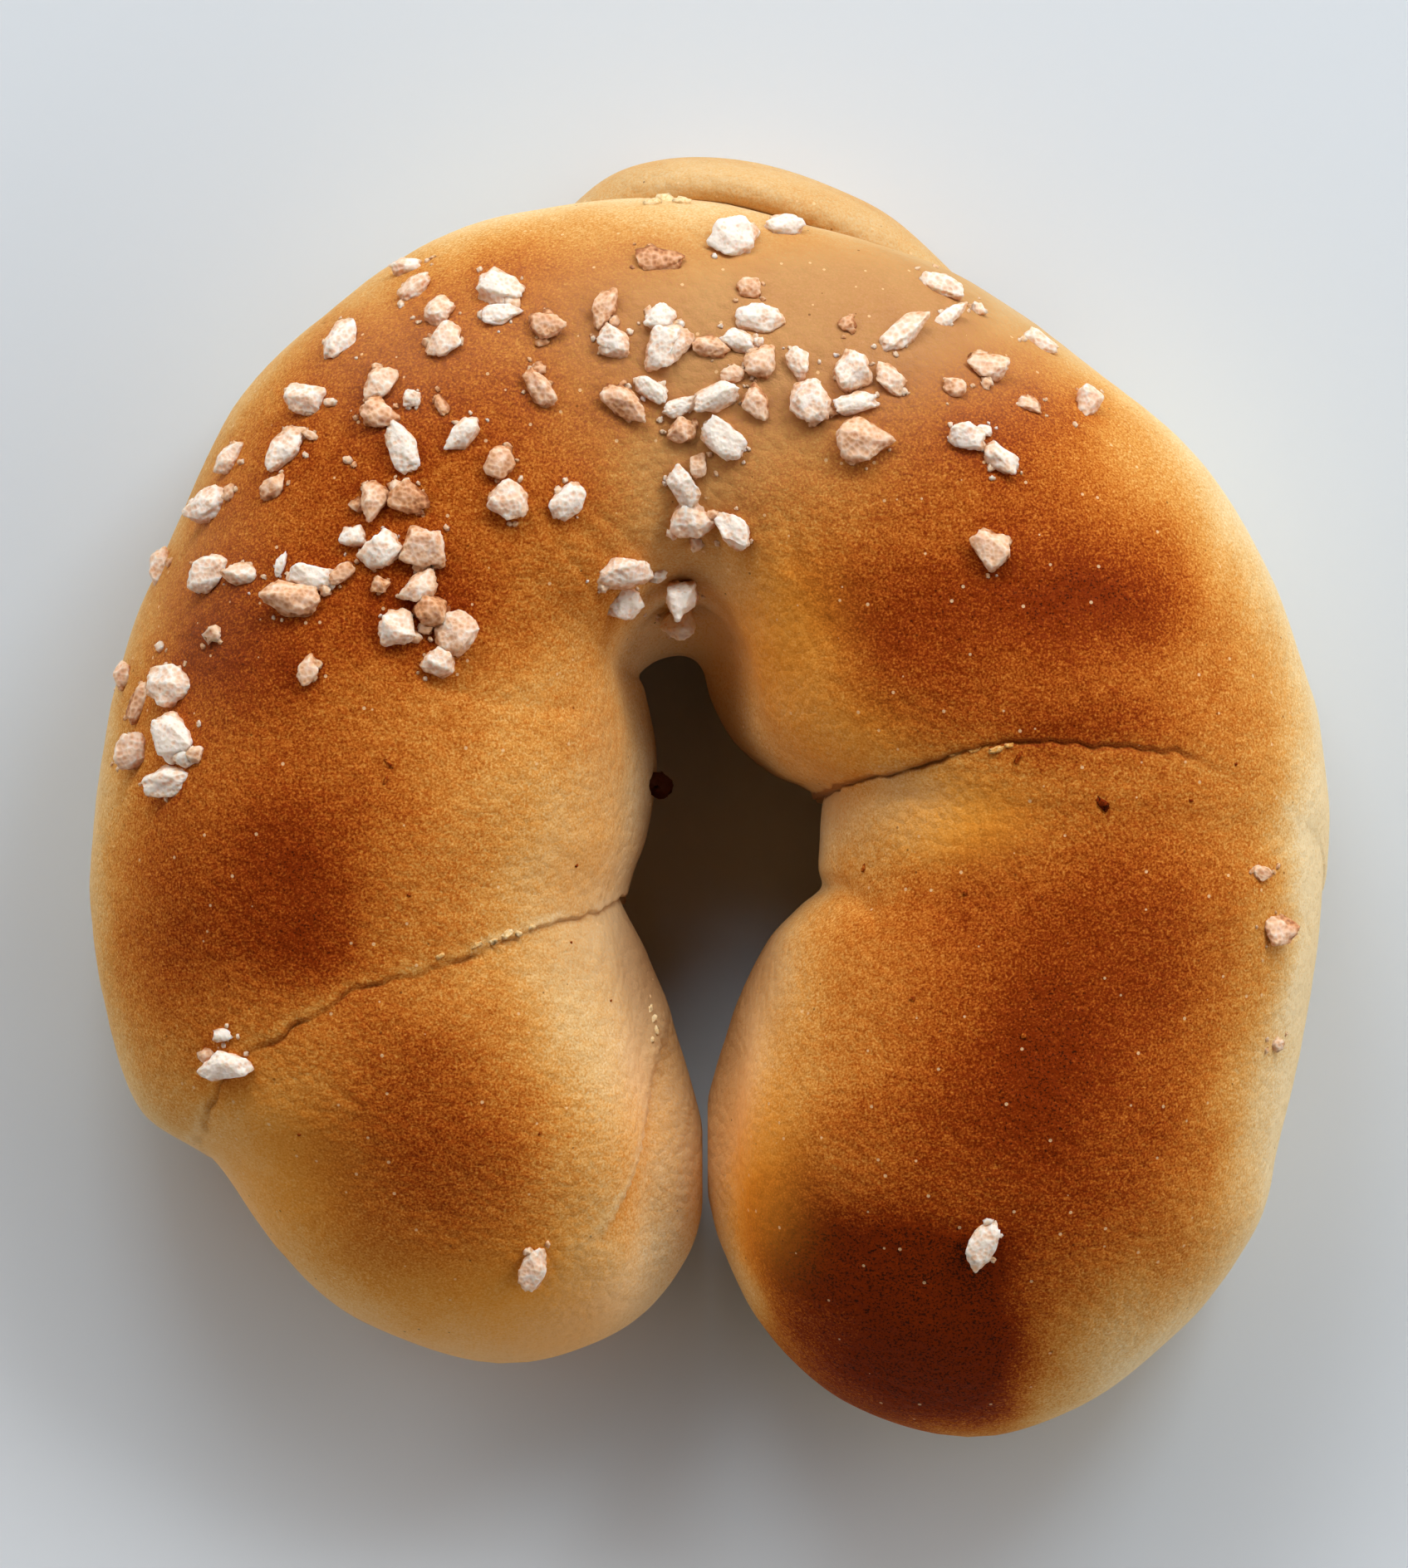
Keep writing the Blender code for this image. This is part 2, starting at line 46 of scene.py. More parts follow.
dough = {
    # outer edge x, y, inner edge x, y and height of the top, from the left tip to the right tip
    "stations": [
        (-20.4, -54.6, -20.4, -54.6, 11.0), (-33.2, -50.6, -9.3, -51.7, 20.5),
        (-41.6, -43.6, -2.7, -45.2, 27.5), (-47.8, -35.2, 0.0, -35.6, 32.0),
        (-55.2, -29.6, -1.7, -25.2, 34.0), (-58.4, -19.2, -5.4, -15.4, 36.0),
        (-59.6, -10.0, -7.8, -9.4, 37.5), (-59.3, -1.6, -6.2, -3.6, 38.0), (-57.8, 7.2, -5.2, 3.6, 38.0),
        (-54.0, 20.4, -6.4, 10.0, 38.0), (-45.2, 38.0, -7.0, 11.8, 37.5), (-34.0, 48.8, -5.8, 13.0, 37.0),
        (-20.4, 55.6, -4.3, 13.6, 36.0), (-2.8, 57.8, -2.8, 13.8, 35.5), (11.6, 54.6, -1.6, 13.4, 36.0),
        (25.4, 49.4, -0.6, 12.2, 37.0), (43.6, 36.0, 0.2, 9.2, 38.0), (52.4, 24.0, 2.4, 5.2, 39.0),
        (57.6, 10.4, 6.0, 2.2, 39.0), (59.4, 0.8, 9.0, 0.8, 38.5), (59.6, -4.0, 9.4, -0.6, 38.0),
        (59.5, -9.6, 9.2, -8.6, 38.0), (58.7, -16.0, 5.0, -14.0, 38.0), (56.9, -24.0, 1.4, -22.4, 38.0),
        (54.9, -32.8, -0.9, -32.0, 37.5), (52.6, -41.6, 0.6, -41.6, 35.0), (44.4, -52.0, 5.6, -51.2, 29.0),
        (35.0, -58.9, 13.2, -58.4, 21.0), (24.8, -61.7, 24.8, -61.7, 11.5),
    ],
    "belly": 13.0,  # height of the widest line
    "tipBelly": 11.2,
    "domeSquareness": 2.2,
    "baseSquareness": 3.2,
    "trayCut": 1.3,
    "tipUndercut": 9.0,  # lengths from a tip over which it closes, its belly rises and its skin stays plain
    "tipBellyLength": 20.0,
    "tipPlain": 5.0,
    # each seam at angles round the section: 0 inner edge, 90 top, 180 outer edge
    "seams": {
        "left": {
            "station": {0: 6.0, 45: 5.6, 85: 5.0, 120: 4.4, 150: 3.5, 180: 3.05, 270: 4.3},
            "depth": {0: 1.1, 40: 0.6, 85: 0.45, 140: 0.5, 180: 0.5, 270: 0.6},
            "lip": {0: 0.4, 90: 0.4, 180: 0.4, 270: 0.4},
            "crack": {
                0: 0.35, 40: 0.45, 75: 0.8, 105: 1.0, 135: 0.8, 155: 0.3, 180: 0.15, 270: 0.1, 330: 0.3,
            },
            "paleLip": (-0.75, 0.55, 1.0),  # distance past the seam, reach, strength
            "shift": 3.0,  # shifts pick a part of the noise
        },
        "right": {
            "station": {
                0: 19.9, 40: 18.6, 80: 18.05, 110: 18.4, 140: 19.05, 160: 20.0, 180: 20.9, 270: 20.5,
            },
            "depth": {0: 1.4, 40: 0.9, 85: 0.4, 112: 0.35, 130: 0.12, 160: 0.15, 180: 0.5, 270: 0.6},
            "lip": {0: 0.4, 90: 0.35, 112: 0.3, 130: 0.1, 160: 0.12, 185: 0.4, 270: 0.4},
            "crack": {0: 1.2, 20: 1.9, 60: 1.8, 90: 1.1, 115: 0.6, 128: 0.0, 180: 0.0, 270: 0.0, 330: 0.3},
            "paleLip": (0.7, 0.5, 0.7),
            "shift": 7.0,
        },
    },
    "lipRound": 3.4,
    "seamFade": 5.0,
    "overhang": 1.3,
    "overhangTop": 24.5,
    "overhangSpread": 4.5,
    "notchStation": 21.0,
    "notchDepth": 0.9,
    "notchWidth": 1.1,
    "notchEnd": 48.0,
    "layerLow": (4.3, 8.0),  # station and angle of the ends of the layer inside the left horn
    "layerHigh": (2.3, 58.0),
    "layerEnds": ((-0.15, 0.15), (0.8, 1.1)),
    "layerStep": 1.2,
    "layerFade": 0.35,
    # painted shade below the edge of the top layer
    "layerShadow": (0.16, 0.04, 0.25),  # strength, start and fade below the edge
    "layerPale": (1.2, -0.03, 0.04),  # strength, place and reach
    "valleyX": -2.2,
    "valleyFoot": 14.0,
    "valleyHead": 44.0,
    "valleyDepth": 3.4,
    "valleyWidth": (9.1, 4.9),
    "valleyRise": 10.0,
    "crownStation": 13.0,
    "hornsBelow": -20.0,
    "partingX": -0.5,
    "hornGap": 0.5,
    "swellSize": 17.0,
    "swellHeight": 0.7,
    "rings": (70, 236, 92),  # before, between and after the seams, crowded at each
    "ringPoints": 212,
    "crowding": 0.55,
    "topCrowding": 0.38,
    "tearSizes": ((4.0, 0.5), (1.5, 0.45)),  # size, reach
    "crackDepth": 0.4,
    "crackWidth": 0.22,
    "crackTint": 0.42,
    "crackBreaks": (2.6, 0.55, 1.5),  # size, how much is open, contrast
    "crackHeight": (3.0, 12.0),
    "lipPatches": (3.6, 0.6, 1.4),
    "creaseHeight": (14.0, 22.0),
    "wrinkleSizes": ((6.5, 0.16), (2.6, 0.06)),  # size, height
    "noiseShifts": {"crack": 31.0, "lip": 51.0, "wrinkle": 11.0},
}

flap = {
    "stations": [
        (-16.5, 53.0, -16.5, 53.0, 10.0), (-10.8, 59.3, -9.6, 54.0, 14.5), (-4.4, 61.6, -4.0, 55.4, 18.0),
        (3.6, 61.4, 2.8, 55.2, 19.5), (11.6, 59.0, 9.8, 52.6, 19.0), (18.8, 55.0, 16.4, 49.4, 17.0),
        (26.5, 46.5, 26.5, 46.5, 10.0),
    ],
    "belly": 8.5,
    "undercut": 1.6,
    "rings": 110,
    "ringPoints": 72,
    "filmAndShade": 0.55,
    "swell": (6.0, 0.25, 2.0),  # size, height, shift of the noise
    "swellHeight": (1.0, 8.0),
    "pale": 0.17,
    "blotches": ((5.0, 0.06, 3.0), (1.5, 0.05, 4.0)),  # size, strength, shift of the noise
    "foldWidth": 6.0,
    "foldPlace": (0.45, 0.8),
    "foldShade": 0.08,
}


def smoothStep(low, high, value):
    share = np.clip((value - low) / (high - low), 0.0, 1.0)
    return share * share * (3.0 - 2.0 * share)


def bell(away):
    return np.exp(-(away**2))


def spline(points, place):
    # Catmull-Rom; points has one extra row at each end, and place 0 is row 1
    start = np.clip(np.floor(place).astype(int), 0, len(points) - 4)
    f = (place - start)[..., None]
    before, low, high, after = (points[start + k] for k in range(4))
    linear = (high - before) * f
    square = (2.0 * before - 5.0 * low + 4.0 * high - after) * f**2
    cube = (3.0 * low - before - 3.0 * high + after) * f**3
    return 0.5 * (2.0 * low + linear + square + cube)


def edgeTables(stations):
    rows = np.array(stations)
    outer, inner, height = rows[:, 0:2], rows[:, 2:4], rows[:, 4:5]
    outerTable = np.vstack([inner[1], outer, inner[-2]])
    innerTable = np.vstack([outer[1], inner, outer[-2]])
    heightTable = np.vstack([2.0 * height[0] - height[1], height, 2.0 * height[-1] - height[-2]])
    return outerTable, innerTable, heightTable


doughTables = edgeTables(dough["stations"])
lastStation = len(dough["stations"]) - 1
stationMarks = np.linspace(0.0, lastStation, 40 * lastStation + 1)
middleLine = 0.5 * (spline(doughTables[0], stationMarks) + spline(doughTables[1], stationMarks))
lengthMarks = np.concatenate([[0.0], np.cumsum(np.linalg.norm(np.diff(middleLine, axis=0), axis=1))])


def lengthAt(station):
    return np.interp(station, stationMarks, lengthMarks)


def stationAt(length):
    return np.interp(length, lengthMarks, stationMarks)


def roundSection(values, angle):
    # a value named at some angles, eased from one to the next
    degrees = np.array(sorted(values), float)
    named = np.array([values[d] for d in sorted(values)])
    degrees = np.concatenate([degrees, degrees[:1] + 360.0])
    named = np.concatenate([named, named[:1]])
    turn = np.degrees(angle) % 360.0
    index = np.searchsorted(degrees, turn, side="right") - 1
    share = (turn - degrees[index]) / (degrees[index + 1] - degrees[index])
    eased = 0.5 * share + 0.5 * share * share * (3.0 - 2.0 * share)
    return named[index] * (1.0 - eased) + named[index + 1] * eased


def domeSection(tables, station, angle, belly, undercut):
    # a domed top above the belly line and a flatter base below it
    outer, inner, top = (spline(table, station) for table in tables)
    cosine, sine = np.cos(angle), np.sin(angle)
    power = np.where(sine >= 0.0, 2.0 / dough["domeSquareness"], 2.0 / dough["baseSquareness"])
    across = np.sign(cosine) * np.abs(cosine) ** power
    rise = np.abs(sine) ** power
    baseDrop = (belly + dough["trayCut"]) * undercut
    height = np.where(sine >= 0.0, belly + (top[..., 0] - belly) * rise, belly - baseDrop * rise)
    plan = 0.5 * (outer + inner) + 0.5 * (inner - outer) * across[..., None]
    points = np.concatenate([plan, np.maximum(height, 0.0)[..., None]], axis=-1)
    return points, across


def plainSurface(station, angle):
    length = lengthAt(station)
    fromTip = np.minimum(length, lengthMarks[-1] - length)
    openShare = 1.0 - np.clip(fromTip / dough["tipUndercut"], 0.0, 1.0)
    sink = (dough["belly"] - dough["tipBelly"]) * smoothStep(0.0, dough["tipBellyLength"], fromTip)
    return domeSection(doughTables, station, angle, dough["tipBelly"] + sink, np.sqrt(1.0 - openShare**2))


def outwardDirections(station):
    outward = spline(doughTables[0], station) - spline(doughTables[1], station)
    return outward / np.maximum(np.linalg.norm(outward, axis=-1, keepdims=True), 1e-9)


def sectionNormals(station, angle):
    # they stay in the upright plane of each station, so rings never cross
    turn = plainSurface(station, angle - 0.01)[0] - plainSurface(station, angle + 0.01)[0]
    outward = outwardDirections(station)
    alongOutward = (turn[..., 0:2] * outward).sum(axis=-1)
    normals = np.concatenate([outward * turn[..., 2:3], -alongOutward[..., None]], axis=-1)
    return normals / np.maximum(np.linalg.norm(normals, axis=-1, keepdims=True), 1e-9)


def noiseAt(points, size, shift=0.0):
    moved = Vector((shift, shift, shift))
    flat = [noise.noise(Vector(point) / size + moved) for point in points.reshape(-1, 3)]
    return np.array(flat).reshape(points.shape[:-1])


def tornSeam(side, angle):
    # where a seam lies along the roll: the smooth seam, torn a little to and fro
    seam = dough["seams"][side]
    length = lengthAt(roundSection(seam["station"], angle))
    plain = plainSurface(stationAt(length), angle)[0]
    for size, reach in dough["tearSizes"]:
        length = length + reach * noiseAt(plain, size, seam["shift"])
    return length


def ringLengths(leftSeam, rightSeam):
    marks = [np.zeros_like(leftSeam), leftSeam, rightSeam, np.full_like(leftSeam, lengthMarks[-1])]
    rings = [marks[0]]
    for count, start, end in zip(dough["rings"], marks, marks[1:]):
        for k in range(1, count + 1):
            share = k / count
            eased = share - dough["crowding"] * math.sin(2.0 * math.pi * share) / (2.0 * math.pi)
            rings.append(start + (end - start) * eased)
    return np.array(rings)


def seamDrop(side, beyond, angle, opening):
    seam = dough["seams"][side]
    inside = np.clip(1.0 + beyond / dough["lipRound"], 0.0, 1.0)
    lip = roundSection(seam["lip"], angle) * (1.0 - np.sqrt(1.0 - inside**2))
    under = roundSection(seam["depth"], angle) * np.exp(-np.maximum(beyond, 0.0) / dough["seamFade"])
    crack = dough["crackDepth"] * opening * bell(beyond / dough["crackWidth"])
    return np.where(beyond < 0.0, lip, under + crack)


def crackOpening(side, points, angle):
    # a seam is torn open here and there
    size, share, contrast = dough["crackBreaks"]
    wide = roundSection(dough["seams"][side]["crack"], angle)
    torn = share + contrast * noiseAt(points, size, dough["noiseShifts"]["crack"])
    torn = torn + np.maximum(wide - 1.0, 0.0)
    return np.clip(torn, 0.0, 1.0) * wide


def notchDrop(station, angle):
    turn = np.degrees(angle)
    signed = np.where(turn > 180.0, turn - 360.0, turn)
    fade = 1.0 - smoothStep(0.0, dough["notchEnd"], np.abs(signed))
    away = (lengthAt(station) - lengthAt(dough["notchStation"])) / dough["notchWidth"]
    return dough["notchDepth"] * fade * bell(away)


def layerEdge(station, angle):
    # how far below the edge of the top layer, as an angle, and where along the roll that layer is
    low, high = dough["layerLow"], dough["layerHigh"]
    share = (low[0] - station) / (low[0] - high[0])
    edge = np.radians(low[1] + share * (high[1] - low[1]))
    signed = np.where(angle > math.pi, angle - 2.0 * math.pi, angle)
    below = edge - signed
    start, end = dough["layerEnds"]
    return below, smoothStep(*start, share) * (1.0 - smoothStep(*end, share))


def layerDrop(station, angle):
    below, window = layerEdge(station, angle)
    return dough["layerStep"] * window * np.where(below > 0.0, np.exp(-below / dough["layerFade"]), 0.0)


def valleyDrop(points):
    x, y = points[..., 0], points[..., 1]
    share = np.clip((dough["valleyHead"] - y) / (dough["valleyHead"] - dough["valleyFoot"]), 0.0, 1.0)
    headWidth, footWidth = dough["valleyWidth"]
    width = headWidth + (footWidth - headWidth) * share
    onTop = smoothStep(dough["belly"], dough["belly"] + dough["valleyRise"], points[..., 2])
    return dough["valleyDepth"] * share**1.5 * bell((x - dough["valleyX"]) / width) * onTop


def overhang(points, across):
    x, z = points[..., 0], points[..., 2]
    left, right = flap["stations"][0][0], flap["stations"][-1][0]
    share = np.clip((x - left) / (right - left), 0.0, 1.0)
    behind = np.sin(math.pi * share) * (across < 0.0) * across**2 * (points[..., 1] > 0.0)
    return dough["overhang"] * behind * bell((z - dough["overhangTop"]) / dough["overhangSpread"])


def partHorns(points, station):
    # the horns stay a hair's breadth apart
    low = points[..., 1] < dough["hornsBelow"]
    x, middle, half = points[..., 0], dough["partingX"], dough["hornGap"] / 2.0
    x = np.where(low & (station < dough["crownStation"]), np.minimum(x, middle - half), x)
    points[..., 0] = np.where(low & (station > dough["crownStation"]), np.maximum(x, middle + half), x)
    return points


# soft folds and wrinkles in the skin: route, width, depth
creases = [
    ([(1.5, 12.8), (3.2, 7.5), (6.2, 4.2), (10.8, 1.6)], 1.1, 0.45),  # beside the hole
    ([(-27.0, 11.2), (-21.0, 9.2), (-13.0, 8.2)], 0.8, 0.22),
    ([(-12.6, 26.0), (-9.8, 23.0), (-7.6, 20.0)], 0.5, 0.22),  # wrinkles above the hole
    ([(-10.8, 27.0), (-8.0, 24.6), (-6.4, 22.6)], 0.5, 0.2),
    ([(-14.4, 24.0), (-12.0, 21.0), (-10.6, 18.0)], 0.5, 0.16),
    ([(9.2, 32.0), (7.4, 27.0), (7.6, 22.0)], 0.8, 0.3),
    ([(-32.4, 3.6), (-31.0, 2.2), (-31.8, 1.0)], 0.4, 0.25),
    ([(9.6, -8.6), (12.0, -8.8), (15.0, -10.6)], 0.9, 0.6),  # the ledge
]


def distanceToRoute(x, y, route):
    best = np.full(x.shape, 1e9)
    for (ax, ay), (bx, by) in zip(route, route[1:]):
        dx, dy = bx - ax, by - ay
        share = np.clip(((x - ax) * dx + (y - ay) * dy) / (dx * dx + dy * dy), 0.0, 1.0)
        best = np.minimum(best, np.hypot(x - ax - share * dx, y - ay - share * dy))
    return best


def creaseDrop(points):
    x, y = points[..., 0], points[..., 1]
    drop = np.zeros(x.shape)
    for route, width, depth in creases:
        drop += depth * bell(distanceToRoute(x, y, route) / width)
    return drop * smoothStep(*dough["creaseHeight"], points[..., 2])


def inwardShift(station, angle, across, drop):
    above = -sectionNormals(station, angle)
    level = outwardDirections(station) * (across**3)[..., None]
    below = np.concatenate([level, np.zeros(level.shape[:-1] + (1,))], axis=-1)
    return np.where((np.sin(angle) >= 0.0)[..., None], above, below) * drop[..., None]


def lipShine(side, beyond, points):
    # the torn lips are paler than the skin behind them
    size, level, contrast = dough["lipPatches"]
    place, reach, strength = dough["seams"][side]["paleLip"]
    patches = np.clip(level + contrast * noiseAt(points, size, dough["noiseShifts"]["lip"]), 0.0, 1.0)
    return patches * strength * bell((beyond - place) / reach)


def layerShine(station, angle):
    below, window = layerEdge(station, angle)
    strength, place, reach = dough["layerPale"]
    return strength * window * bell((below - place) / reach)


def layerShade(station, angle):
    # painted shade: the lower layer is darkened close to the edge of the top layer, which shades it
    below, window = layerEdge(station, angle)
    strength, start, fade = dough["layerShadow"]
    return strength * window * smoothStep(0.0, start, below) * np.exp(-np.maximum(below, 0.0) / fade)


def doughPoints():
    turns = np.arange(dough["ringPoints"]) * 2.0 * math.pi / dough["ringPoints"]
    angles = (turns + dough["topCrowding"] * np.cos(turns)) % (2.0 * math.pi)
    leftSeam, rightSeam = tornSeam("left", angles), tornSeam("right", angles)
    lengths = ringLengths(leftSeam, rightSeam)
    station = stationAt(lengths)
    angle = np.broadcast_to(angles, station.shape)
    points, across = plainSurface(station, angle)
    beyond = {"left": leftSeam - lengths, "right": lengths - rightSeam}
    opening = {side: crackOpening(side, points, angle) for side in beyond}
    drop = sum(seamDrop(side, beyond[side], angle, opening[side]) for side in beyond)
    drop += notchDrop(station, angle) + layerDrop(station, angle) + valleyDrop(points) + creaseDrop(points)
    drop -= dough["swellHeight"] * noiseAt(points, dough["swellSize"]) + overhang(points, across)
    for size, height in dough["wrinkleSizes"]:
        drop -= height * noiseAt(points, size, dough["noiseShifts"]["wrinkle"])
    fromTip = np.minimum(lengths, lengthMarks[-1] - lengths)
    drop *= smoothStep(0.0, dough["tipPlain"], fromTip)
    points = partHorns(points + inwardShift(station, angle, across, drop), station)
    crack = sum(opening[side] * bell(beyond[side] / dough["crackTint"]) for side in beyond)
    pale = sum(lipShine(side, beyond[side], points) for side in beyond) + layerShine(station, angle)
    return points, crack, baking["lipPale"] * pale - layerShade(station, angle)


def loftMesh(name, rings):
    # one closed mesh from rings whose first and last ring are single points
    ringCount, count = rings.shape[0] - 2, rings.shape[1]
    places = np.vstack([rings[0].mean(axis=0), rings[1:-1].reshape(-1, 3), rings[-1].mean(axis=0)])
    last = len(places) - 1
    faces = []
    for k in range(count):
        n = (k + 1) % count
        faces.append((0, 1 + n, 1 + k))
        for ring in range(ringCount - 1):
            near, far = 1 + ring * count, 1 + (ring + 1) * count
            faces.append((near + k, near + n, far + n, far + k))
        faces.append((last, last - count + k, last - count + n))
    mesh = bpy.data.meshes.new(name)
    mesh.from_pydata((places * metresPerMm).tolist(), [], faces)
    build = bmesh.new()
    build.from_mesh(mesh)
    bmesh.ops.recalc_face_normals(build, faces=build.faces)
    build.to_mesh(mesh)
    build.free()
    mesh.shade_smooth()
    return mesh


def newObject(name, data):
    thing = bpy.data.objects.new(name, data)
    bpy.context.scene.collection.objects.link(thing)
    return thing


def addAttribute(mesh, name, values):
    layer = mesh.attributes.new(name, "FLOAT", "POINT")
    layer.data.foreach_set("value", np.asarray(values, np.float32).ravel())


def overRings(values):
    # from ring and point order to the vertex order of loftMesh
    return np.concatenate([[values[0].mean()], values[1:-1].ravel(), [values[-1].mean()]])


def loftedPiece(name, rings, marks):
    mesh = loftMesh(name, rings)
    for label, level in marks.items():
        level = np.broadcast_to(level, rings.shape[:2])
        addAttribute(mesh, label, overRings(np.clip(level, 0.0, 1.0)))
    return newObject(name, mesh)


# browned places: x, y, reach along x, reach along y, how much browner, edge hardness where it isn't 2
browning = {
    "left arm": [
        (-39.6, -6.8, 6.5, 6.5, 0.24), (-38.0, -14.4, 4.5, 3.6, 0.16), (-46.0, 13.6, 7.0, 6.0, 0.22),
        (-39.5, 1.0, 15.0, 20.0, 0.2), (-51.0, -13.0, 9.0, 11.0, 0.14), (-38.0, 27.0, 5.0, 6.0, 0.06),
        (-29.0, 17.6, 7.0, 4.0, 0.2), (-40.0, -15.0, 9.0, 5.0, 0.08), (-54.0, -11.0, 6.0, 9.0, 0.08),
    ],
    "left horn": [
        (-26.8, -34.0, 11.2, 9.5, 0.3), (-24.0, -48.0, 12.0, 6.0, 0.18), (-37.0, -40.0, 7.0, 8.0, 0.08),
        (-27.0, -23.0, 9.0, 5.0, 0.09),
    ],
    "crown and left shoulder": [
        (-28.4, 28.8, 18.0, 13.0, 0.16), (-23.0, 19.0, 7.0, 6.0, 0.1), (-17.2, 38.0, 11.0, 8.0, 0.1),
        (-17.2, 50.4, 9.0, 5.0, 0.14), (-32.4, 43.0, 11.0, 8.0, 0.12, 2.4), (-9.5, 6.5, 4.5, 3.5, 0.07),
        (11.6, 48.8, 9.0, 6.0, 0.05), (-13.0, 32.0, 6.0, 5.0, 0.05), (-49.0, 25.0, 8.0, 12.0, 0.09),
        (-33.0, 33.0, 7.0, 6.0, 0.06),
    ],
    "right shoulder": [
        (15.6, 17.6, 9.0, 6.5, 0.22), (34.8, 19.0, 9.5, 6.5, 0.26), (27.0, 17.0, 19.0, 12.0, 0.22),
        (29.0, 33.0, 14.0, 9.0, 0.2), (19.6, 8.6, 8.0, 4.5, 0.06), (35.6, 6.6, 9.0, 3.2, 0.2),
        (43.0, 20.0, 9.0, 10.0, 0.05), (18.0, 38.0, 5.0, 5.0, 0.08), (44.0, 17.0, 5.0, 5.0, 0.04),
        (27.6, 36.8, 6.0, 5.0, 0.05), (54.0, 6.0, 5.0, 5.0, 0.05),
    ],
    "right horn": [
        (34.0, -11.0, 14.0, 9.0, 0.24), (31.6, -26.0, 8.0, 9.5, 0.34), (27.0, -22.0, 19.0, 19.0, 0.14),
        (19.5, -31.5, 6.5, 6.0, 0.17), (43.0, -22.0, 6.5, 24.0, 0.14), (17.4, -51.5, 13.6, 13.0, 0.46, 6.0),
        (22.0, -56.5, 12.0, 6.0, 0.3, 2.4), (25.0, -46.0, 10.0, 10.0, 0.12, 2.4),
        (7.6, -40.8, 5.5, 6.8, 0.4, 3.0), (33.0, -40.0, 11.0, 9.0, 0.16),
    ],
}
# and paler ones, given in the same way; those on the horn feet, the lower flanks, the right rim and the
# foot of the valley are painted light, lifting skin that lies in shade
palerAndLitPlaces = {
    "left arm": [(-57.0, -2.0, 4.0, 12.0, 0.05), (-14.0, -3.0, 9.0, 9.0, 0.12)],
    "left horn": [
        (-9.0, -24.0, 7.0, 14.0, 0.16), (-13.0, -48.5, 8.0, 6.0, 0.18), (-26.0, -52.5, 14.0, 6.0, 0.17),
        (-38.0, -36.0, 12.0, 7.0, 0.08), (-6.0, -25.5, 3.4, 5.0, 0.14, 2.4),
        (-15.0, -19.0, 6.0, 12.0, 0.12), (-44.5, -31.0, 4.0, 4.0, 0.14),
    ],
    "crown and left shoulder": [
        (2.5, 46.0, 8.0, 10.0, 0.06), (-2.5, 28.0, 6.0, 9.0, 0.1), (-2.5, 18.5, 6.5, 6.0, 0.24),
        (-16.4, 10.4, 6.0, 4.0, 0.06), (4.0, 55.5, 14.0, 2.0, 0.12, 2.4),
    ],
    "right shoulder": [
        (23.0, 3.4, 7.0, 3.5, 0.07), (10.5, 5.0, 4.5, 4.0, 0.08), (8.0, 10.0, 6.0, 8.0, 0.1),
        (21.0, 25.0, 8.0, 6.0, 0.04), (51.0, 27.0, 7.0, 13.0, 0.16), (5.5, 16.5, 5.0, 5.0, 0.09),
        (38.0, 32.0, 8.0, 6.0, 0.1),
    ],
    "right horn": [
        (9.0, -20.0, 6.0, 9.0, 0.04), (16.5, -3.4, 7.0, 4.4, 0.17), (19.0, 0.3, 5.5, 2.8, 0.22),
        (59.0, -14.0, 5.4, 24.0, 0.37), (40.0, -51.5, 9.0, 8.0, 0.16), (35.0, -11.0, 8.0, 6.0, 0.06),
        (52.0, -32.0, 6.0, 12.0, 0.14), (2.4, -27.0, 3.0, 9.0, 0.2, 2.4), (6.0, -22.0, 5.0, 10.0, 0.1),
    ],
}
baking = {
    "sidePale": 0.07,
    "topGold": 0.4,
    "sideHeight": (13.0, 33.0),
    "spotHeight": (3.0, 14.0),
    "warpSize": 7.0,
    "warp": 2.2,
    "warpShifts": (21.0, 42.0),
    "blotches": ((4.2, 0.04, 5.0), (1.5, 0.03, 9.0)),  # size, strength, shift of the noise
    "hardness": 2.0,  # of the edges of the spots
    "washHardness": 2.4,
    "underside": 0.5,
    "undersideHeight": (0.0, 2.5),
    "darkest": 0.93,
    "lipPale": 0.13,
    "caramelAndShade": 0.065,
    "caramelReach": 0.9,
    "caramelHardness": 4,
    "wallCentre": (1.0, -8.0),
    "wallReach": (11.0, 23.0),
    "wallHeight": (14.0, 27.0),
    "wallHardness": 6,
    "holeWallShade": 1.0,
}
# a film of sugar syrup has dried pale here, and on the left horn beside the hole the same dull tint is
# painted shade: x, y, reach along x, reach along y, strength
filmAndShade = {
    "left horn": [
        (-1.6, -30.0, 2.4, 9.0, 0.6), (-6.4, -16.0, 2.6, 8.0, 0.8), (-10.0, -14.0, 6.0, 6.0, 0.6),
    ],
    "crown and left shoulder": [
        (3.0, 43.0, 15.0, 12.0, 0.95), (22.0, 47.0, 16.0, 9.0, 0.85), (-12.0, 47.0, 10.0, 7.0, 0.3),
        (-31.0, 44.0, 11.0, 7.0, 0.35), (-9.0, 4.0, 4.0, 6.0, 0.3), (-2.0, 27.0, 6.0, 9.0, 0.4),
        (-52.0, 26.0, 8.0, 16.0, 0.3),
    ],
    "right shoulder": [(11.6, -0.6, 2.0, 2.6, 0.6)],
    "right horn": [(5.2, -15.5, 2.2, 5.5, 0.8)],
}
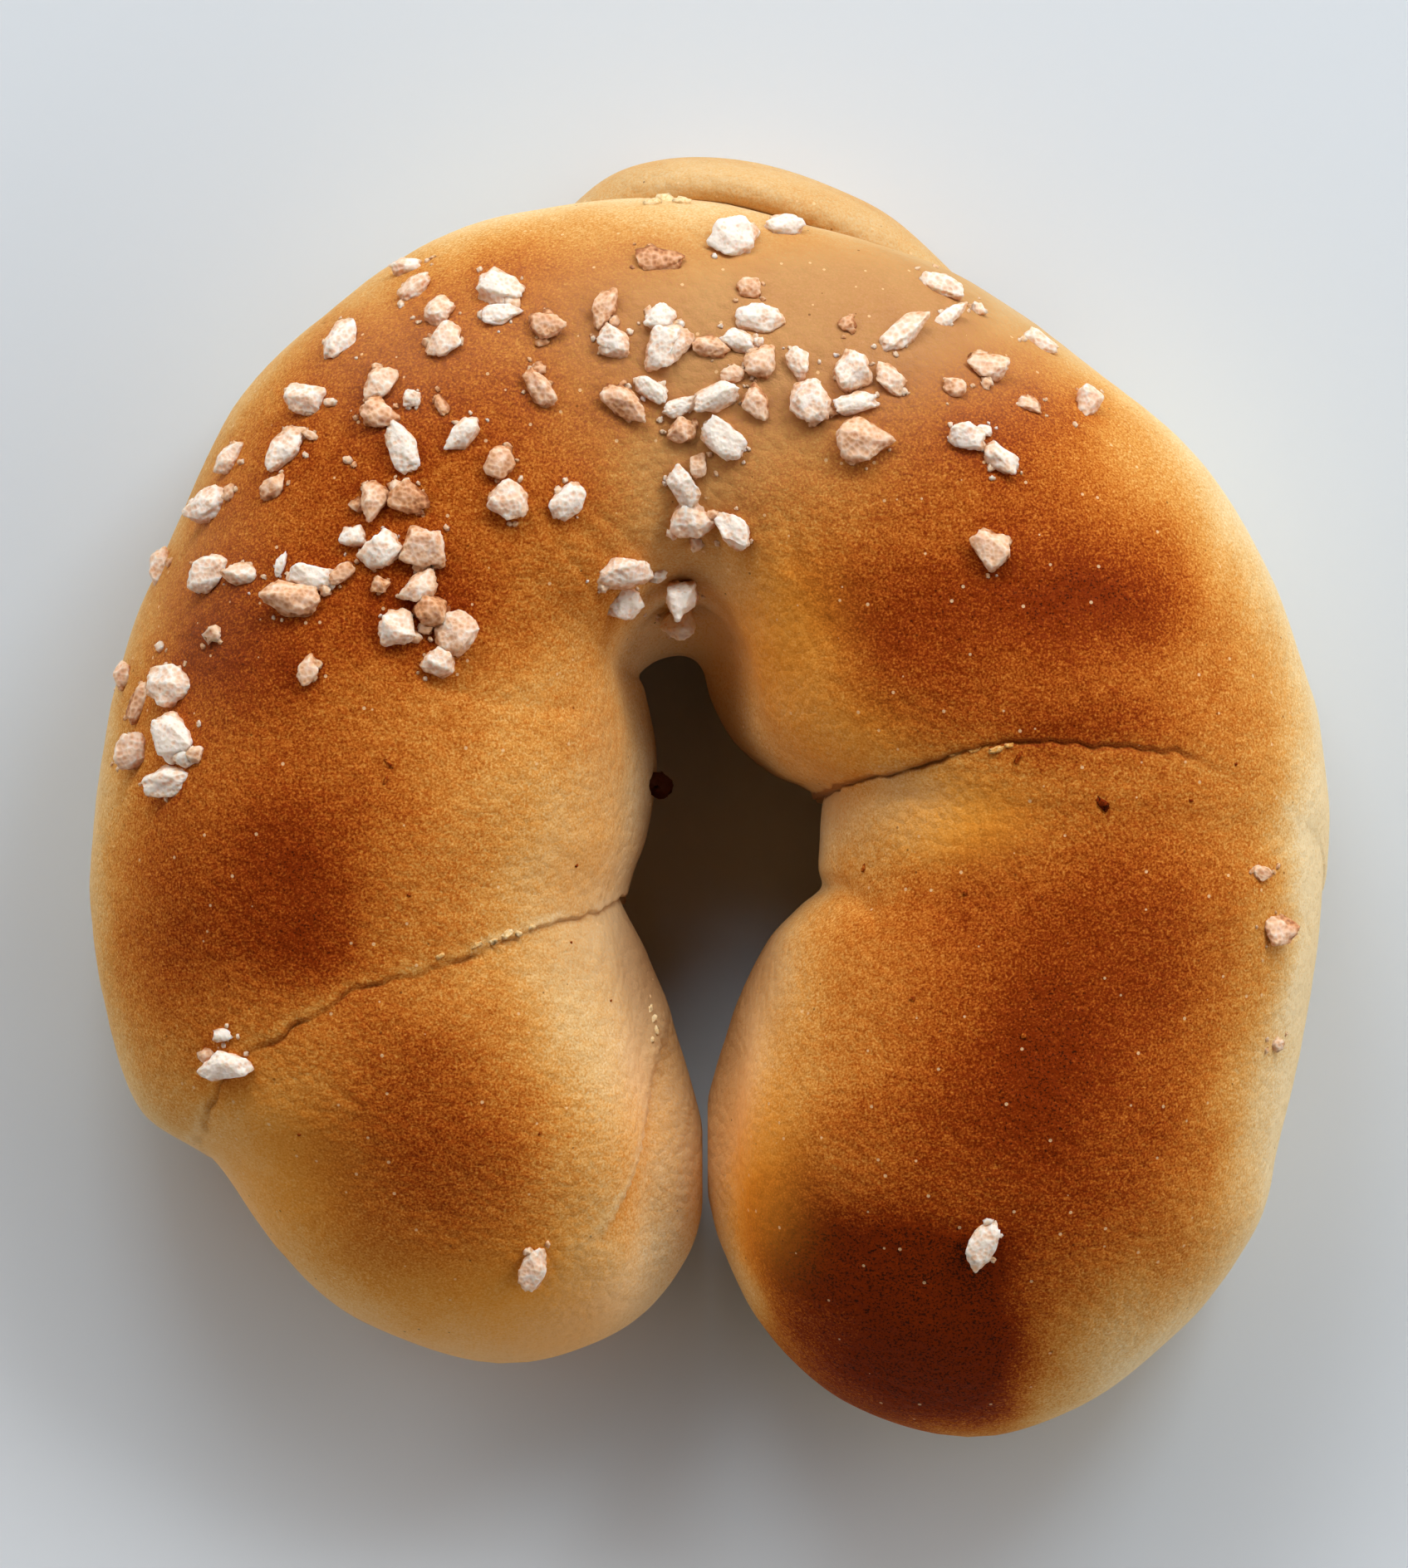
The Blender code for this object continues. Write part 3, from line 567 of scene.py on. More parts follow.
# painted warm light: here the shaded sides, the horn feet and the gap between the horns are tinted a
# brighter, deeper gold, as light glowing through and bounced off the dough would make them
paintedWarmLight = {
    "left arm": [(-11.5, -6.0, 5.0, 6.0, 0.4)],
    "left horn": [
        (-24.0, -51.0, 15.0, 7.0, 0.8), (-43.0, -37.0, 8.0, 10.0, 0.8), (-5.5, -27.0, 4.0, 9.0, 0.5),
        (-14.0, -49.0, 7.0, 6.0, 0.6),
    ],
    "right shoulder": [(12.5, 5.0, 6.0, 4.5, 0.6), (6.0, 15.0, 6.0, 8.0, 0.9)],
    "right horn": [(23.0, -1.8, 7.0, 4.0, 0.9), (2.5, -23.0, 4.0, 14.0, 0.6), (4.0, -37.0, 5.0, 9.0, 0.8)],
}


def spots(x, y, regions, hardness):
    total = np.zeros(x.shape)
    for rows in regions.values():
        for cx, cy, rx, ry, strength, *own in rows:
            away = np.hypot((x - cx) / rx, (y - cy) / ry)
            total += strength * np.exp(-(away ** (own[0] if own else hardness)))
    return total


def blotches(points, settings):
    return sum(strength * noiseAt(points, size, shift) for size, strength, shift in settings)


def bakeLevel(points):
    height, size = points[..., 2], baking["warpSize"]
    # the spots are warped so that none is a plain oval
    x, y = (
        points[..., k] + baking["warp"] * noiseAt(points, size, baking["warpShifts"][k]) for k in (0, 1)
    )
    side, top = baking["sidePale"], baking["topGold"]
    level = side + (top - side) * smoothStep(*baking["sideHeight"], height)
    level += spots(x, y, browning, baking["hardness"]) * smoothStep(*baking["spotHeight"], height)
    level -= spots(x, y, palerAndLitPlaces, baking["hardness"])
    level += (baking["underside"] - level) * (1.0 - smoothStep(*baking["undersideHeight"], height))
    return np.clip(level + blotches(points, baking["blotches"]), 0.0, baking["darkest"])


def caramelAndShade(points):
    # the skin close round a nib of sugar is darker: partly browned by the sugar, partly painted contact
    # shade
    total = np.zeros(points.shape[:-1])
    for x, y, length, *_ in nibList:
        away = np.hypot(points[..., 0] - x, points[..., 1] - y) / (0.5 * length + baking["caramelReach"])
        total = np.maximum(total, np.exp(-(away ** baking["caramelHardness"])))
    return baking["caramelAndShade"] * total


def wallShade(points):
    # painted shade: the walls of the hole are darkened low down, where the hole shades them
    cx, cy = baking["wallCentre"]
    rx, ry = baking["wallReach"]
    away = np.hypot((points[..., 0] - cx) / rx, (points[..., 1] - cy) / ry)
    low = 1.0 - smoothStep(*baking["wallHeight"], points[..., 2])
    return baking["holeWallShade"] * np.exp(-(away ** baking["wallHardness"])) * low


def makeDough():
    rings, crack, pale = doughPoints()
    x, y, height = (rings[..., k] for k in range(3))
    return loftedPiece("dough", rings, {
        "bake": bakeLevel(rings) + caramelAndShade(rings) - pale,
        "crack": crack * smoothStep(*dough["crackHeight"], height),
        "holeWallShade": wallShade(rings),
        "filmAndShade": spots(x, y, filmAndShade, baking["washHardness"]),
        "paintedWarmLight": spots(x, y, paintedWarmLight, baking["washHardness"]),
    })


def makeFlap():
    tables, last = edgeTables(flap["stations"]), len(flap["stations"]) - 1
    stations = 0.5 * (1.0 - np.cos(np.linspace(0.0, math.pi, flap["rings"] + 1))) * last
    angles = np.arange(flap["ringPoints"]) * 2.0 * math.pi / flap["ringPoints"]
    station, angle = np.meshgrid(stations, angles, indexing="ij")
    fromEnd = np.minimum(station, last - station)
    undercut = np.sqrt(1.0 - (1.0 - np.clip(fromEnd / flap["undercut"], 0.0, 1.0)) ** 2)
    rings = domeSection(tables, station, angle, flap["belly"], undercut)[0]
    size, height, shift = flap["swell"]
    rings[..., 2] += height * noiseAt(rings, size, shift) * smoothStep(*flap["swellHeight"], rings[..., 2])
    bake = flap["pale"] + blotches(rings, flap["blotches"])
    # painted shade in the fold where the crown's lip overhangs the flap
    fold = np.clip((spline(tables[0], station)[..., 1] - rings[..., 1]) / flap["foldWidth"], 0.0, 1.0)
    bake += flap["foldShade"] * smoothStep(*flap["foldPlace"], fold)
    marks = {"bake": bake, "crack": 0.0, "holeWallShade": 0.0, "filmAndShade": flap["filmAndShade"], "paintedWarmLight": 0.0}
    return loftedPiece("wrapEnd", rings, marks)


def linearColour(red, green, blue):
    # from a colour as a screen shows it, 0 to 255
    def channel(value):
        value /= 255.0
        return value / 12.92 if value <= 0.04045 else ((value + 0.055) / 1.055) ** 2.4

    return (channel(red), channel(green), channel(blue), 1.0)


def feed(tree, inputs, values):
    # each named input gets a link or a value
    for name, value in values.items():
        if isinstance(value, bpy.types.NodeSocket):
            tree.links.new(value, inputs[name])
        else:
            inputs[name].default_value = value


def addNode(tree, kind, values={}, **settings):
    node = tree.nodes.new(kind)
    for name, setting in settings.items():
        setattr(node, name, setting)
    feed(tree, node.inputs, values)
    return node.outputs


def newMaterial(name):
    material = bpy.data.materials.new(name)
    material.use_nodes = True
    return material, material.node_tree, material.node_tree.nodes["Principled BSDF"].inputs


def mathNode(tree, operation, *values, clamp=False):
    values = dict(enumerate(values))
    return addNode(tree, "ShaderNodeMath", values, operation=operation, use_clamp=clamp)[0]


def mapRange(tree, value, numbers, kind="LINEAR"):
    # numbers are from low, from high, to low and to high
    values = dict(zip(("Value", "From Min", "From Max", "To Min", "To Max"), (value, *numbers)))
    return addNode(tree, "ShaderNodeMapRange", values, interpolation_type=kind)["Result"]


def attributeNode(tree, name):
    return addNode(tree, "ShaderNodeAttribute", attribute_name=name)


def colourRamp(tree, level, stops):
    ramp = tree.nodes.new("ShaderNodeValToRGB")
    elements = ramp.color_ramp.elements
    while len(elements) < len(stops):
        elements.new(0.5)
    for element, (place, colour) in zip(elements, stops):
        element.position, element.color = place, linearColour(*colour)
    tree.links.new(level, ramp.inputs["Fac"])
    return ramp.outputs["Color"]


skinGrain = {
    "fleckDetail": (3.0, 0.65),
    "blotchDetail": (4.0, 0.6),
    "fleckHeight": 0.4,
    # the pale specks are partly pale grains in the skin and partly painted glints of light
    "specks": {"Pale specks and glints": (0.0017, 0.1), "Dark specks": (0.0022, 0.06)},  # spacing, radius
    "speckShare": 0.55,  # a speck shows where its random number is above this
}


def skinGrainGroup():
    # fine grain of a baked skin: a mottle for the colour and a height for the bump
    tree = bpy.data.node_groups.new("skinGrain", "ShaderNodeTree")
    for side, names in (
        ("INPUT", ("Fleck size", "Blotch size")),
        ("OUTPUT", ("Flecks", "Blotches", "Height", "Pale specks and glints", "Dark specks")),
    ):
        for name in names:
            tree.interface.new_socket(name, in_out=side, socket_type="NodeSocketFloat")
    given, results = addNode(tree, "NodeGroupInput"), tree.nodes.new("NodeGroupOutput").inputs
    place, maths = addNode(tree, "ShaderNodeTexCoord")["Object"], partial(mathNode, tree)

    def noiseNode(scale, detail, roughness):
        values = {"Vector": place, "Scale": scale, "Detail": detail, "Roughness": roughness}
        return addNode(tree, "ShaderNodeTexNoise", values)["Fac"]

    fleckScale, blotchScale = (maths("DIVIDE", 1.0, given[name]) for name in ("Fleck size", "Blotch size"))
    fleck = noiseNode(fleckScale, *skinGrain["fleckDetail"])
    blotch = noiseNode(blotchScale, *skinGrain["blotchDetail"])
    pores = addNode(tree, "ShaderNodeTexVoronoi", {"Vector": place, "Scale": blotchScale})["Distance"]
    height = maths("ADD", maths("MULTIPLY", pores, -1.0), blotch)
    outcome = {
        "Flecks": maths("SUBTRACT", fleck, 0.5),
        "Blotches": maths("SUBTRACT", blotch, 0.5),
        "Height": maths("ADD", height, maths("MULTIPLY", fleck, skinGrain["fleckHeight"])),
    }
    for name, (spacing, radius) in skinGrain["specks"].items():
        dots = addNode(tree, "ShaderNodeTexVoronoi", {"Vector": place, "Scale": 1.0 / spacing})
        near = maths("LESS_THAN", dots["Distance"], radius)
        chosen = maths("GREATER_THAN", dots["Color"], skinGrain["speckShare"])
        outcome[name] = maths("MULTIPLY", near, chosen)
    feed(tree, results, outcome)
    return tree


crust = {
    "bakeColours": (
        (0.00, (242, 216, 168)),
        (0.16, (232, 190, 126)),
        (0.34, (216, 150, 70)),
        (0.50, (194, 110, 36)),
        (0.66, (160, 72, 18)),
        (0.82, (122, 42, 8)),
        (0.94, (127, 43, 4)),
        (1.00, (60, 24, 8)),
    ),
    # each mark lies over the last one: colour, or none for the film's own, and strength
    "layers": {
        # painted warm light on shaded sides
        "paintedWarmLight": ((250, 162, 52), 0.6),
        "filmAndShade": (None, 0.7),
        # painted shade on the lower walls of the hole
        "holeWallShade": ((116, 68, 26), 0.75),
        "crack": ((136, 64, 24), 0.6),
        # pale grains and painted glints
        "Pale specks and glints": ((240, 200, 148), 0.65),
        "Dark specks": ((84, 40, 16), 0.6),
    },
    "filmColours": ((0.3, (158, 116, 74)), (0.7, (203, 158, 110))),
    "mottle": (1.0, 0.12),  # flecks, blotches
    # the grain is livelier on brown skin and calmer on the darkest: browning from, to, strength from, to
    "lively": (0.3, 0.75, 0.72, 1.3),
    "calm": (0.84, 0.93, 1.0, 0.6),
    "roughness": (0.0, 1.0, 0.62, 0.5),  # browning from, to, roughness from, to
    "specular": 0.02,
    "bumpHeight": 0.00015,
    "grainSizes": {"Fleck size": 0.00024, "Blotch size": 0.0011},
}


def crustMaterial(grain):
    material, tree, shader = newMaterial("eggWashedCrust")
    maths = partial(mathNode, tree)
    detail = addNode(tree, "ShaderNodeGroup", crust["grainSizes"], node_tree=grain)
    bake = attributeNode(tree, "bake")["Fac"]
    mottle = maths("ADD", *(maths("MULTIPLY", detail[k], crust["mottle"][k]) for k in (0, 1)))
    for change in (crust["lively"], crust["calm"]):
        mottle = maths("MULTIPLY", mottle, mapRange(tree, bake, change))
    level = maths("ADD", bake, mottle, clamp=True)
    colour = colourRamp(tree, level, crust["bakeColours"])
    filmTint = colourRamp(tree, maths("ADD", detail["Flecks"], 0.5), crust["filmColours"])
    for name, (tint, share) in crust["layers"].items():
        mask = detail[name] if name in detail else attributeNode(tree, name)["Fac"]
        values = {
            "Factor": maths("MULTIPLY", mask, share),
            "A": colour,
            "B": linearColour(*tint) if tint else filmTint,
        }
        colour = addNode(tree, "ShaderNodeMix", values, data_type="RGBA")["Result"]
    bump = {"Height": detail["Height"], "Distance": crust["bumpHeight"]}
    feed(tree, shader, {
        "Base Color": colour,
        "Roughness": mapRange(tree, level, crust["roughness"]),
        "Normal": addNode(tree, "ShaderNodeBump", bump)["Normal"],
        "Specular IOR Level": crust["specular"],
    })
    return material


sugarSkin = {
    "colours": (
        (0.00, (150, 84, 40)),
        (0.30, (210, 148, 98)),
        (0.60, (236, 190, 152)),
        (0.85, (245, 213, 186)),
        (1.00, (250, 232, 216)),
    ),
    # the foot of a nib has taken colour from the crust: height from, to, change of tone from, to
    "foot": (-0.15, 0.3, -0.42, 0.04),
    "patches": (900.0, 0.7),  # scale, strength
    "patchDetail": 4.0,
    "crystals": (2100.0, 0.55),
    "crystalMiddle": 0.45,
    "bumpHeight": 0.00012,
    "shader": {
        "Roughness": 0.55,
        "Specular IOR Level": 0.3,
        "Subsurface Weight": 0.6,
        "Subsurface Radius": (1.0, 0.8, 0.6),
        "Subsurface Scale": 0.0008,
    },
}


def sugarMaterial():
    material, tree, shader = newMaterial("pearlSugar")
    maths = partial(mathNode, tree)
    onStone = attributeNode(tree, "stonePlace")["Vector"]
    height = addNode(tree, "ShaderNodeSeparateXYZ", {"Vector": onStone})["Z"]
    foot = mapRange(tree, height, sugarSkin["foot"], "SMOOTHSTEP")
    place = addNode(tree, "ShaderNodeTexCoord")["Object"]
    (patchScale, patches), (edgeScale, edges) = sugarSkin["patches"], sugarSkin["crystals"]
    values = {"Vector": place, "Scale": patchScale, "Detail": sugarSkin["patchDetail"]}
    patch = addNode(tree, "ShaderNodeTexNoise", values)["Fac"]
    edge = addNode(tree, "ShaderNodeTexVoronoi", {"Vector": place, "Scale": edgeScale})["Distance"]
    level = maths("ADD", attributeNode(tree, "nibTone")["Fac"], foot)
    crystals = maths("MULTIPLY", maths("SUBTRACT", edge, sugarSkin["crystalMiddle"]), edges)
    clouds = maths("MULTIPLY", maths("SUBTRACT", patch, 0.5), patches)
    level = maths("ADD", maths("ADD", level, crystals), clouds, clamp=True)
    bump = {"Height": maths("ADD", patch, edge), "Distance": sugarSkin["bumpHeight"]}
    feed(tree, shader, {
        "Base Color": colourRamp(tree, level, sugarSkin["colours"]),
        "Normal": addNode(tree, "ShaderNodeBump", bump)["Normal"],
        **sugarSkin["shader"],
    })
    return material


# x, y, length, width, turn from the x axis and whiteness of each nib, by the region that it lies on
sugarNibs = {
    "middle of the crown": [
        (-10.2, 46.8, 3.9, 2.4, 75, 0.5), (-9.2, 43.8, 3.5, 3.0, 160, 0.9), (-5.0, 46.0, 3.2, 2.7, 20, 1.0),
        (-4.6, 43.2, 5.8, 3.4, 35, 0.9), (-8.3, 38.2, 5.0, 2.7, -40, 0.5), (-5.8, 39.4, 4.2, 2.0, -28, 1.0),
        (-0.2, 43.4, 3.3, 2.0, -20, 0.5), (2.7, 43.8, 4.1, 2.1, -5, 1.0), (4.6, 46.3, 4.3, 2.6, 0, 0.95),
        (3.8, 48.9, 2.9, 2.0, 0, 0.5), (4.9, 41.8, 3.7, 2.8, 60, 0.65), (4.3, 38.2, 3.9, 2.3, -60, 0.6),
        (2.2, 40.8, 2.0, 1.6, 0, 0.6), (0.6, 38.5, 4.7, 3.1, 20, 1.0), (-3.0, 37.7, 3.5, 1.6, 20, 0.97),
        (1.1, 34.6, 5.2, 3.0, -42, 1.0), (-2.6, 35.4, 2.7, 2.4, 0, 0.5), (8.5, 41.7, 3.3, 2.3, -65, 0.85),
        (9.7, 38.0, 4.4, 3.9, 0, 0.8), (14.0, 41.1, 4.2, 3.8, 70, 0.9), (14.1, 37.8, 4.4, 2.0, 5, 0.95),
        (17.2, 40.2, 3.7, 2.1, -45, 0.7), (14.1, 34.4, 5.4, 3.9, -20, 0.55),
        (13.3, 45.6, 2.0, 1.6, 0, 0.35), (18.4, 44.6, 5.3, 2.2, 45, 0.8),
    ],
    "back of the crown": [
        (2.2, 53.7, 4.4, 3.6, 20, 1.0), (6.9, 54.9, 4.2, 2.4, 0, 0.95),
        (-5.2, 51.6, 5.0, 2.8, -10, 0.25, 0.9),
    ],
    "valley": [
        (-1.0, 31.8, 2.5, 1.7, 80, 0.6), (-2.7, 29.8, 4.1, 2.6, -65, 0.95),
        (-1.7, 26.3, 4.7, 4.1, 10, 0.75), (2.0, 26.0, 4.2, 2.8, -70, 0.93), (-8.9, 21.7, 5.4, 3.4, 0, 0.85),
        (-8.6, 18.6, 3.8, 2.7, 0, 0.95), (-5.1, 21.4, 1.6, 1.2, 0, 0.9),
        (-2.6, 20.2, 3.8, 3.0, 60, 1.0, 6.5), (-2.8, 17.4, 3.4, 2.8, 0, 1.0, 6.0),
    ],
    "back of the left shoulder": [
        (-28.9, 51.0, 4.0, 1.9, 10, 0.8), (-28.4, 48.8, 4.1, 2.0, 50, 0.7),
        (-26.1, 46.5, 3.8, 2.6, 15, 0.7), (-25.5, 43.8, 4.0, 2.9, 60, 0.75),
        (-20.2, 49.1, 4.4, 3.8, -30, 0.93), (-20.3, 46.5, 3.7, 2.1, 15, 0.97),
        (-15.7, 45.1, 3.4, 2.8, -10, 0.45), (-16.5, 39.3, 3.6, 2.4, -45, 0.5),
        (-16.5, 41.3, 1.1, 1.1, 0, 0.35), (-31.8, 39.8, 3.5, 2.9, 70, 0.7),
        (-32.0, 36.8, 4.0, 2.8, -10, 0.5), (-28.6, 38.3, 1.9, 1.7, 0, 0.9),
        (-25.9, 37.7, 2.2, 1.2, -70, 0.4), (-29.4, 33.2, 5.2, 2.2, -65, 0.95),
        (-23.9, 35.1, 4.2, 2.3, 35, 0.93), (-20.3, 32.3, 3.7, 2.6, 65, 0.5),
        (-19.4, 28.4, 4.2, 3.4, -50, 0.75), (-13.9, 28.4, 4.4, 2.6, 65, 0.9),
    ],
    "left shoulder": [
        (-35.5, 43.9, 4.2, 3.0, 80, 0.9), (-38.5, 38.5, 4.3, 3.2, -10, 0.82),
        (-40.7, 33.6, 5.1, 2.9, 50, 0.9), (-42.2, 29.7, 2.6, 2.0, 50, 0.5),
        (-46.2, 32.5, 3.1, 2.3, 60, 0.75), (-47.9, 28.2, 4.2, 3.4, 20, 0.85),
        (-38.4, 34.8, 2.0, 1.0, -25, 0.5), (-34.9, 32.5, 0.8, 0.7, 0, 0.5),
    ],
    "left arm": [
        (-32.4, 28.6, 3.9, 3.0, 60, 0.55), (-29.1, 28.7, 3.6, 3.0, -20, 0.3),
        (-30.1, 29.8, 1.6, 1.4, 0, 0.6), (-34.2, 25.0, 2.4, 2.3, 0, 0.9), (-31.7, 23.8, 3.8, 3.6, 30, 0.92),
        (-27.4, 24.2, 4.5, 3.8, 55, 0.62), (-28.1, 20.3, 4.2, 2.7, 50, 0.7),
        (-26.6, 18.0, 3.2, 3.0, 0, 0.3), (-30.2, 16.0, 3.7, 3.5, -40, 0.85),
        (-24.4, 16.0, 5.2, 3.6, 70, 0.65), (-26.2, 13.0, 3.3, 2.9, -15, 0.75),
        (-31.7, 20.4, 2.0, 1.6, 0, 0.3), (-27.4, 16.3, 1.2, 1.2, 0, 0.5), (-26.2, 22.6, 1.3, 1.3, 0, 0.35),
        (-48.2, 21.6, 3.9, 3.0, 15, 0.8), (-45.2, 21.5, 3.2, 2.2, -10, 0.75),
        (-41.3, 22.5, 2.2, 1.2, 75, 0.95), (-38.5, 21.1, 4.8, 2.7, -10, 1.0),
        (-39.8, 18.8, 5.4, 3.6, -5, 0.5), (-35.4, 21.6, 2.8, 1.7, 30, 0.45),
        (-47.9, 15.7, 1.6, 1.5, 0, 0.6), (-52.9, 14.5, 0.9, 0.9, 0, 0.7), (-38.8, 12.1, 2.9, 1.9, 60, 0.55),
    ],
    "left flank": [
        (-51.8, 10.9, 4.3, 3.5, -10, 0.8), (-51.8, 5.8, 6.0, 4.6, -20, 1.0),
        (-55.4, 4.1, 3.9, 3.4, 60, 0.7), (-52.2, 1.4, 4.7, 2.5, 10, 0.9), (-55.1, 8.7, 4.2, 1.9, 68, 0.5),
        (-56.3, 11.4, 3.0, 1.8, 80, 0.6), (-52.9, 21.9, 3.2, 1.9, 78, 0.7),
    ],
    "right shoulder": [
        (22.1, 49.1, 4.9, 2.7, -15, 0.8), (22.8, 46.2, 4.4, 1.6, 40, 0.85), (25.7, 46.9, 1.5, 1.4, 0, 0.7),
        (31.6, 43.8, 3.6, 2.0, -30, 0.8), (26.6, 41.2, 3.7, 3.0, -10, 0.65), (23.6, 39.4, 2.1, 1.8, 0, 0.5),
        (30.6, 37.9, 2.8, 1.6, -20, 0.6), (36.0, 37.8, 3.3, 2.6, 60, 0.75),
        (24.7, 34.5, 3.4, 2.7, -20, 0.93), (26.5, 35.3, 1.8, 1.3, -15, 0.97),
        (28.0, 32.4, 4.2, 2.2, -35, 0.85), (27.3, 23.6, 4.4, 3.2, -60, 0.6),
    ],
    "horns": [
        (-46.8, -25.8, 5.0, 3.2, 10, 0.95), (-47.0, -22.9, 1.6, 1.2, 0, 0.9),
        (-17.1, -45.2, 4.0, 2.5, 70, 0.75), (26.2, -43.0, 4.8, 2.2, 70, 0.9),
        (53.0, -7.3, 2.0, 1.4, 0, 0.5), (54.5, -12.7, 3.3, 2.9, 0, 0.55), (54.5, -23.8, 1.4, 1.2, 0, 0.6),
    ],
}
sugar = {
    "flatness": 0.68,  # height of a nib as a share of its width
    "sink": 0.2,
    "upright": 0.6,  # how far a nib on a slope still lies level
    "crumbSize": 1.7,  # shorter ones are made as crumbs
    "clingBelow": 0.002,  # one that would miss the roll clings to its side
    "clingHeight": 15.0,
    "seedStep": 7.3,
    "radius": 0.56,
    "noises": {"Lump": (2.6, 1.0), "Grit": (8.0, 2.0)},  # scale and detail
    "stone": {
        "Seed": 4, "Facets": 1, "Divisions": 3, "Corners": 0.17, "Rounding": 1, "Lump": 0.2, "Grit": 0.15,
    },
}
crumbs = {
    "seed": 11,
    "perNib": 3,
    "lumps": 0.35,  # share that cling to the side of the nib as larger lumps
    "lumpLength": (0.25, 0.45),
    "reach": (0.1, 0.9),
    "length": (0.25, 0.6),
    "widthShare": (0.6, 1.0),
    "tone": (0.5, 0.9),
    "besideNib": 0.47,  # where a nib ends, as a share of its size
    "stone": {"Seed": 11, "Facets": 2, "Divisions": 0, "Rounding": 0},
}
nibList = [row for rows in sugarNibs.values() for row in rows]


def crumbRows():
    # lumps that cling to a nib, and small crumbs beside it
    draw = random.Random(crumbs["seed"])
    rows = []
    for x, y, length, width, along, whiteness, *_ in nibList:
        for _ in range(crumbs["perNib"]):
            turn = draw.uniform(0.0, 2.0 * math.pi)
            if draw.random() < crumbs["lumps"]:
                reach, size = 0.0, width * draw.uniform(*crumbs["lumpLength"])
            else:
                reach, size = draw.uniform(*crumbs["reach"]), draw.uniform(*crumbs["length"])
            out = (crumbs["besideNib"] * length + reach) * math.cos(turn)
            side = (crumbs["besideNib"] * width + reach) * math.sin(turn)
            cosine, sine = math.cos(math.radians(along)), math.sin(math.radians(along))
            spot = (x + out * cosine - side * sine, y + out * sine + side * cosine)
            tone = whiteness * draw.uniform(*crumbs["tone"])
            narrow = size * draw.uniform(*crumbs["widthShare"])
            rows.append((*spot, size, narrow, draw.uniform(0.0, 180.0), tone))
    return rows


def nibPoints(name, rows, surface, toneName):
    # one loose point for each nib where the camera sees it, with its turn and size as attributes
    places, turns, scales, tones = [], [], [], []
    eye = Vector((*studio["frameCentre"], studio["focusHeight"] + studio["cameraHeight"]))
    for x, y, length, width, turn, whiteness, *given in rows:
        seen = Vector((x * metresPerMm, y * metresPerMm, studio["focusHeight"]))
        hit, normal, _, _ = surface.ray_cast(eye, (seen - eye).normalized())
        if hit is None or hit.z < sugar["clingBelow"]:
            hit, normal, _, _ = surface.find_nearest(Vector((x, y, sugar["clingHeight"])) * metresPerMm)
        height = given[0] if given else width * sugar["flatness"]
        normal = (normal * (1.0 - sugar["upright"]) + Vector((0.0, 0.0, sugar["upright"]))).normalized()
        pointing = Vector((math.cos(math.radians(turn)), math.sin(math.radians(turn)), 0.0))
        along = (pointing - normal * pointing.dot(normal)).normalized()
        axes = Matrix((along, normal.cross(along), normal)).transposed()
        places.append(hit + normal * height * (0.5 - sugar["sink"]) * metresPerMm)
        turns.append(axes.to_euler()[:])
        scales.append([side * metresPerMm for side in (length, width, height)])
        tones.append(whiteness)
    mesh = bpy.data.meshes.new(name)
    mesh.from_pydata([place[:] for place in places], [], [])
    for label, values in (("nibTurn", turns), ("nibScale", scales), ("nibPlace", places)):
        layer = mesh.attributes.new(label, "FLOAT_VECTOR", "POINT")
        layer.data.foreach_set("vector", np.array(values, np.float32).ravel())
    addAttribute(mesh, toneName, tones)
    addAttribute(mesh, "nibSeed", [sugar["seedStep"] * k for k in range(len(tones))])
    return mesh


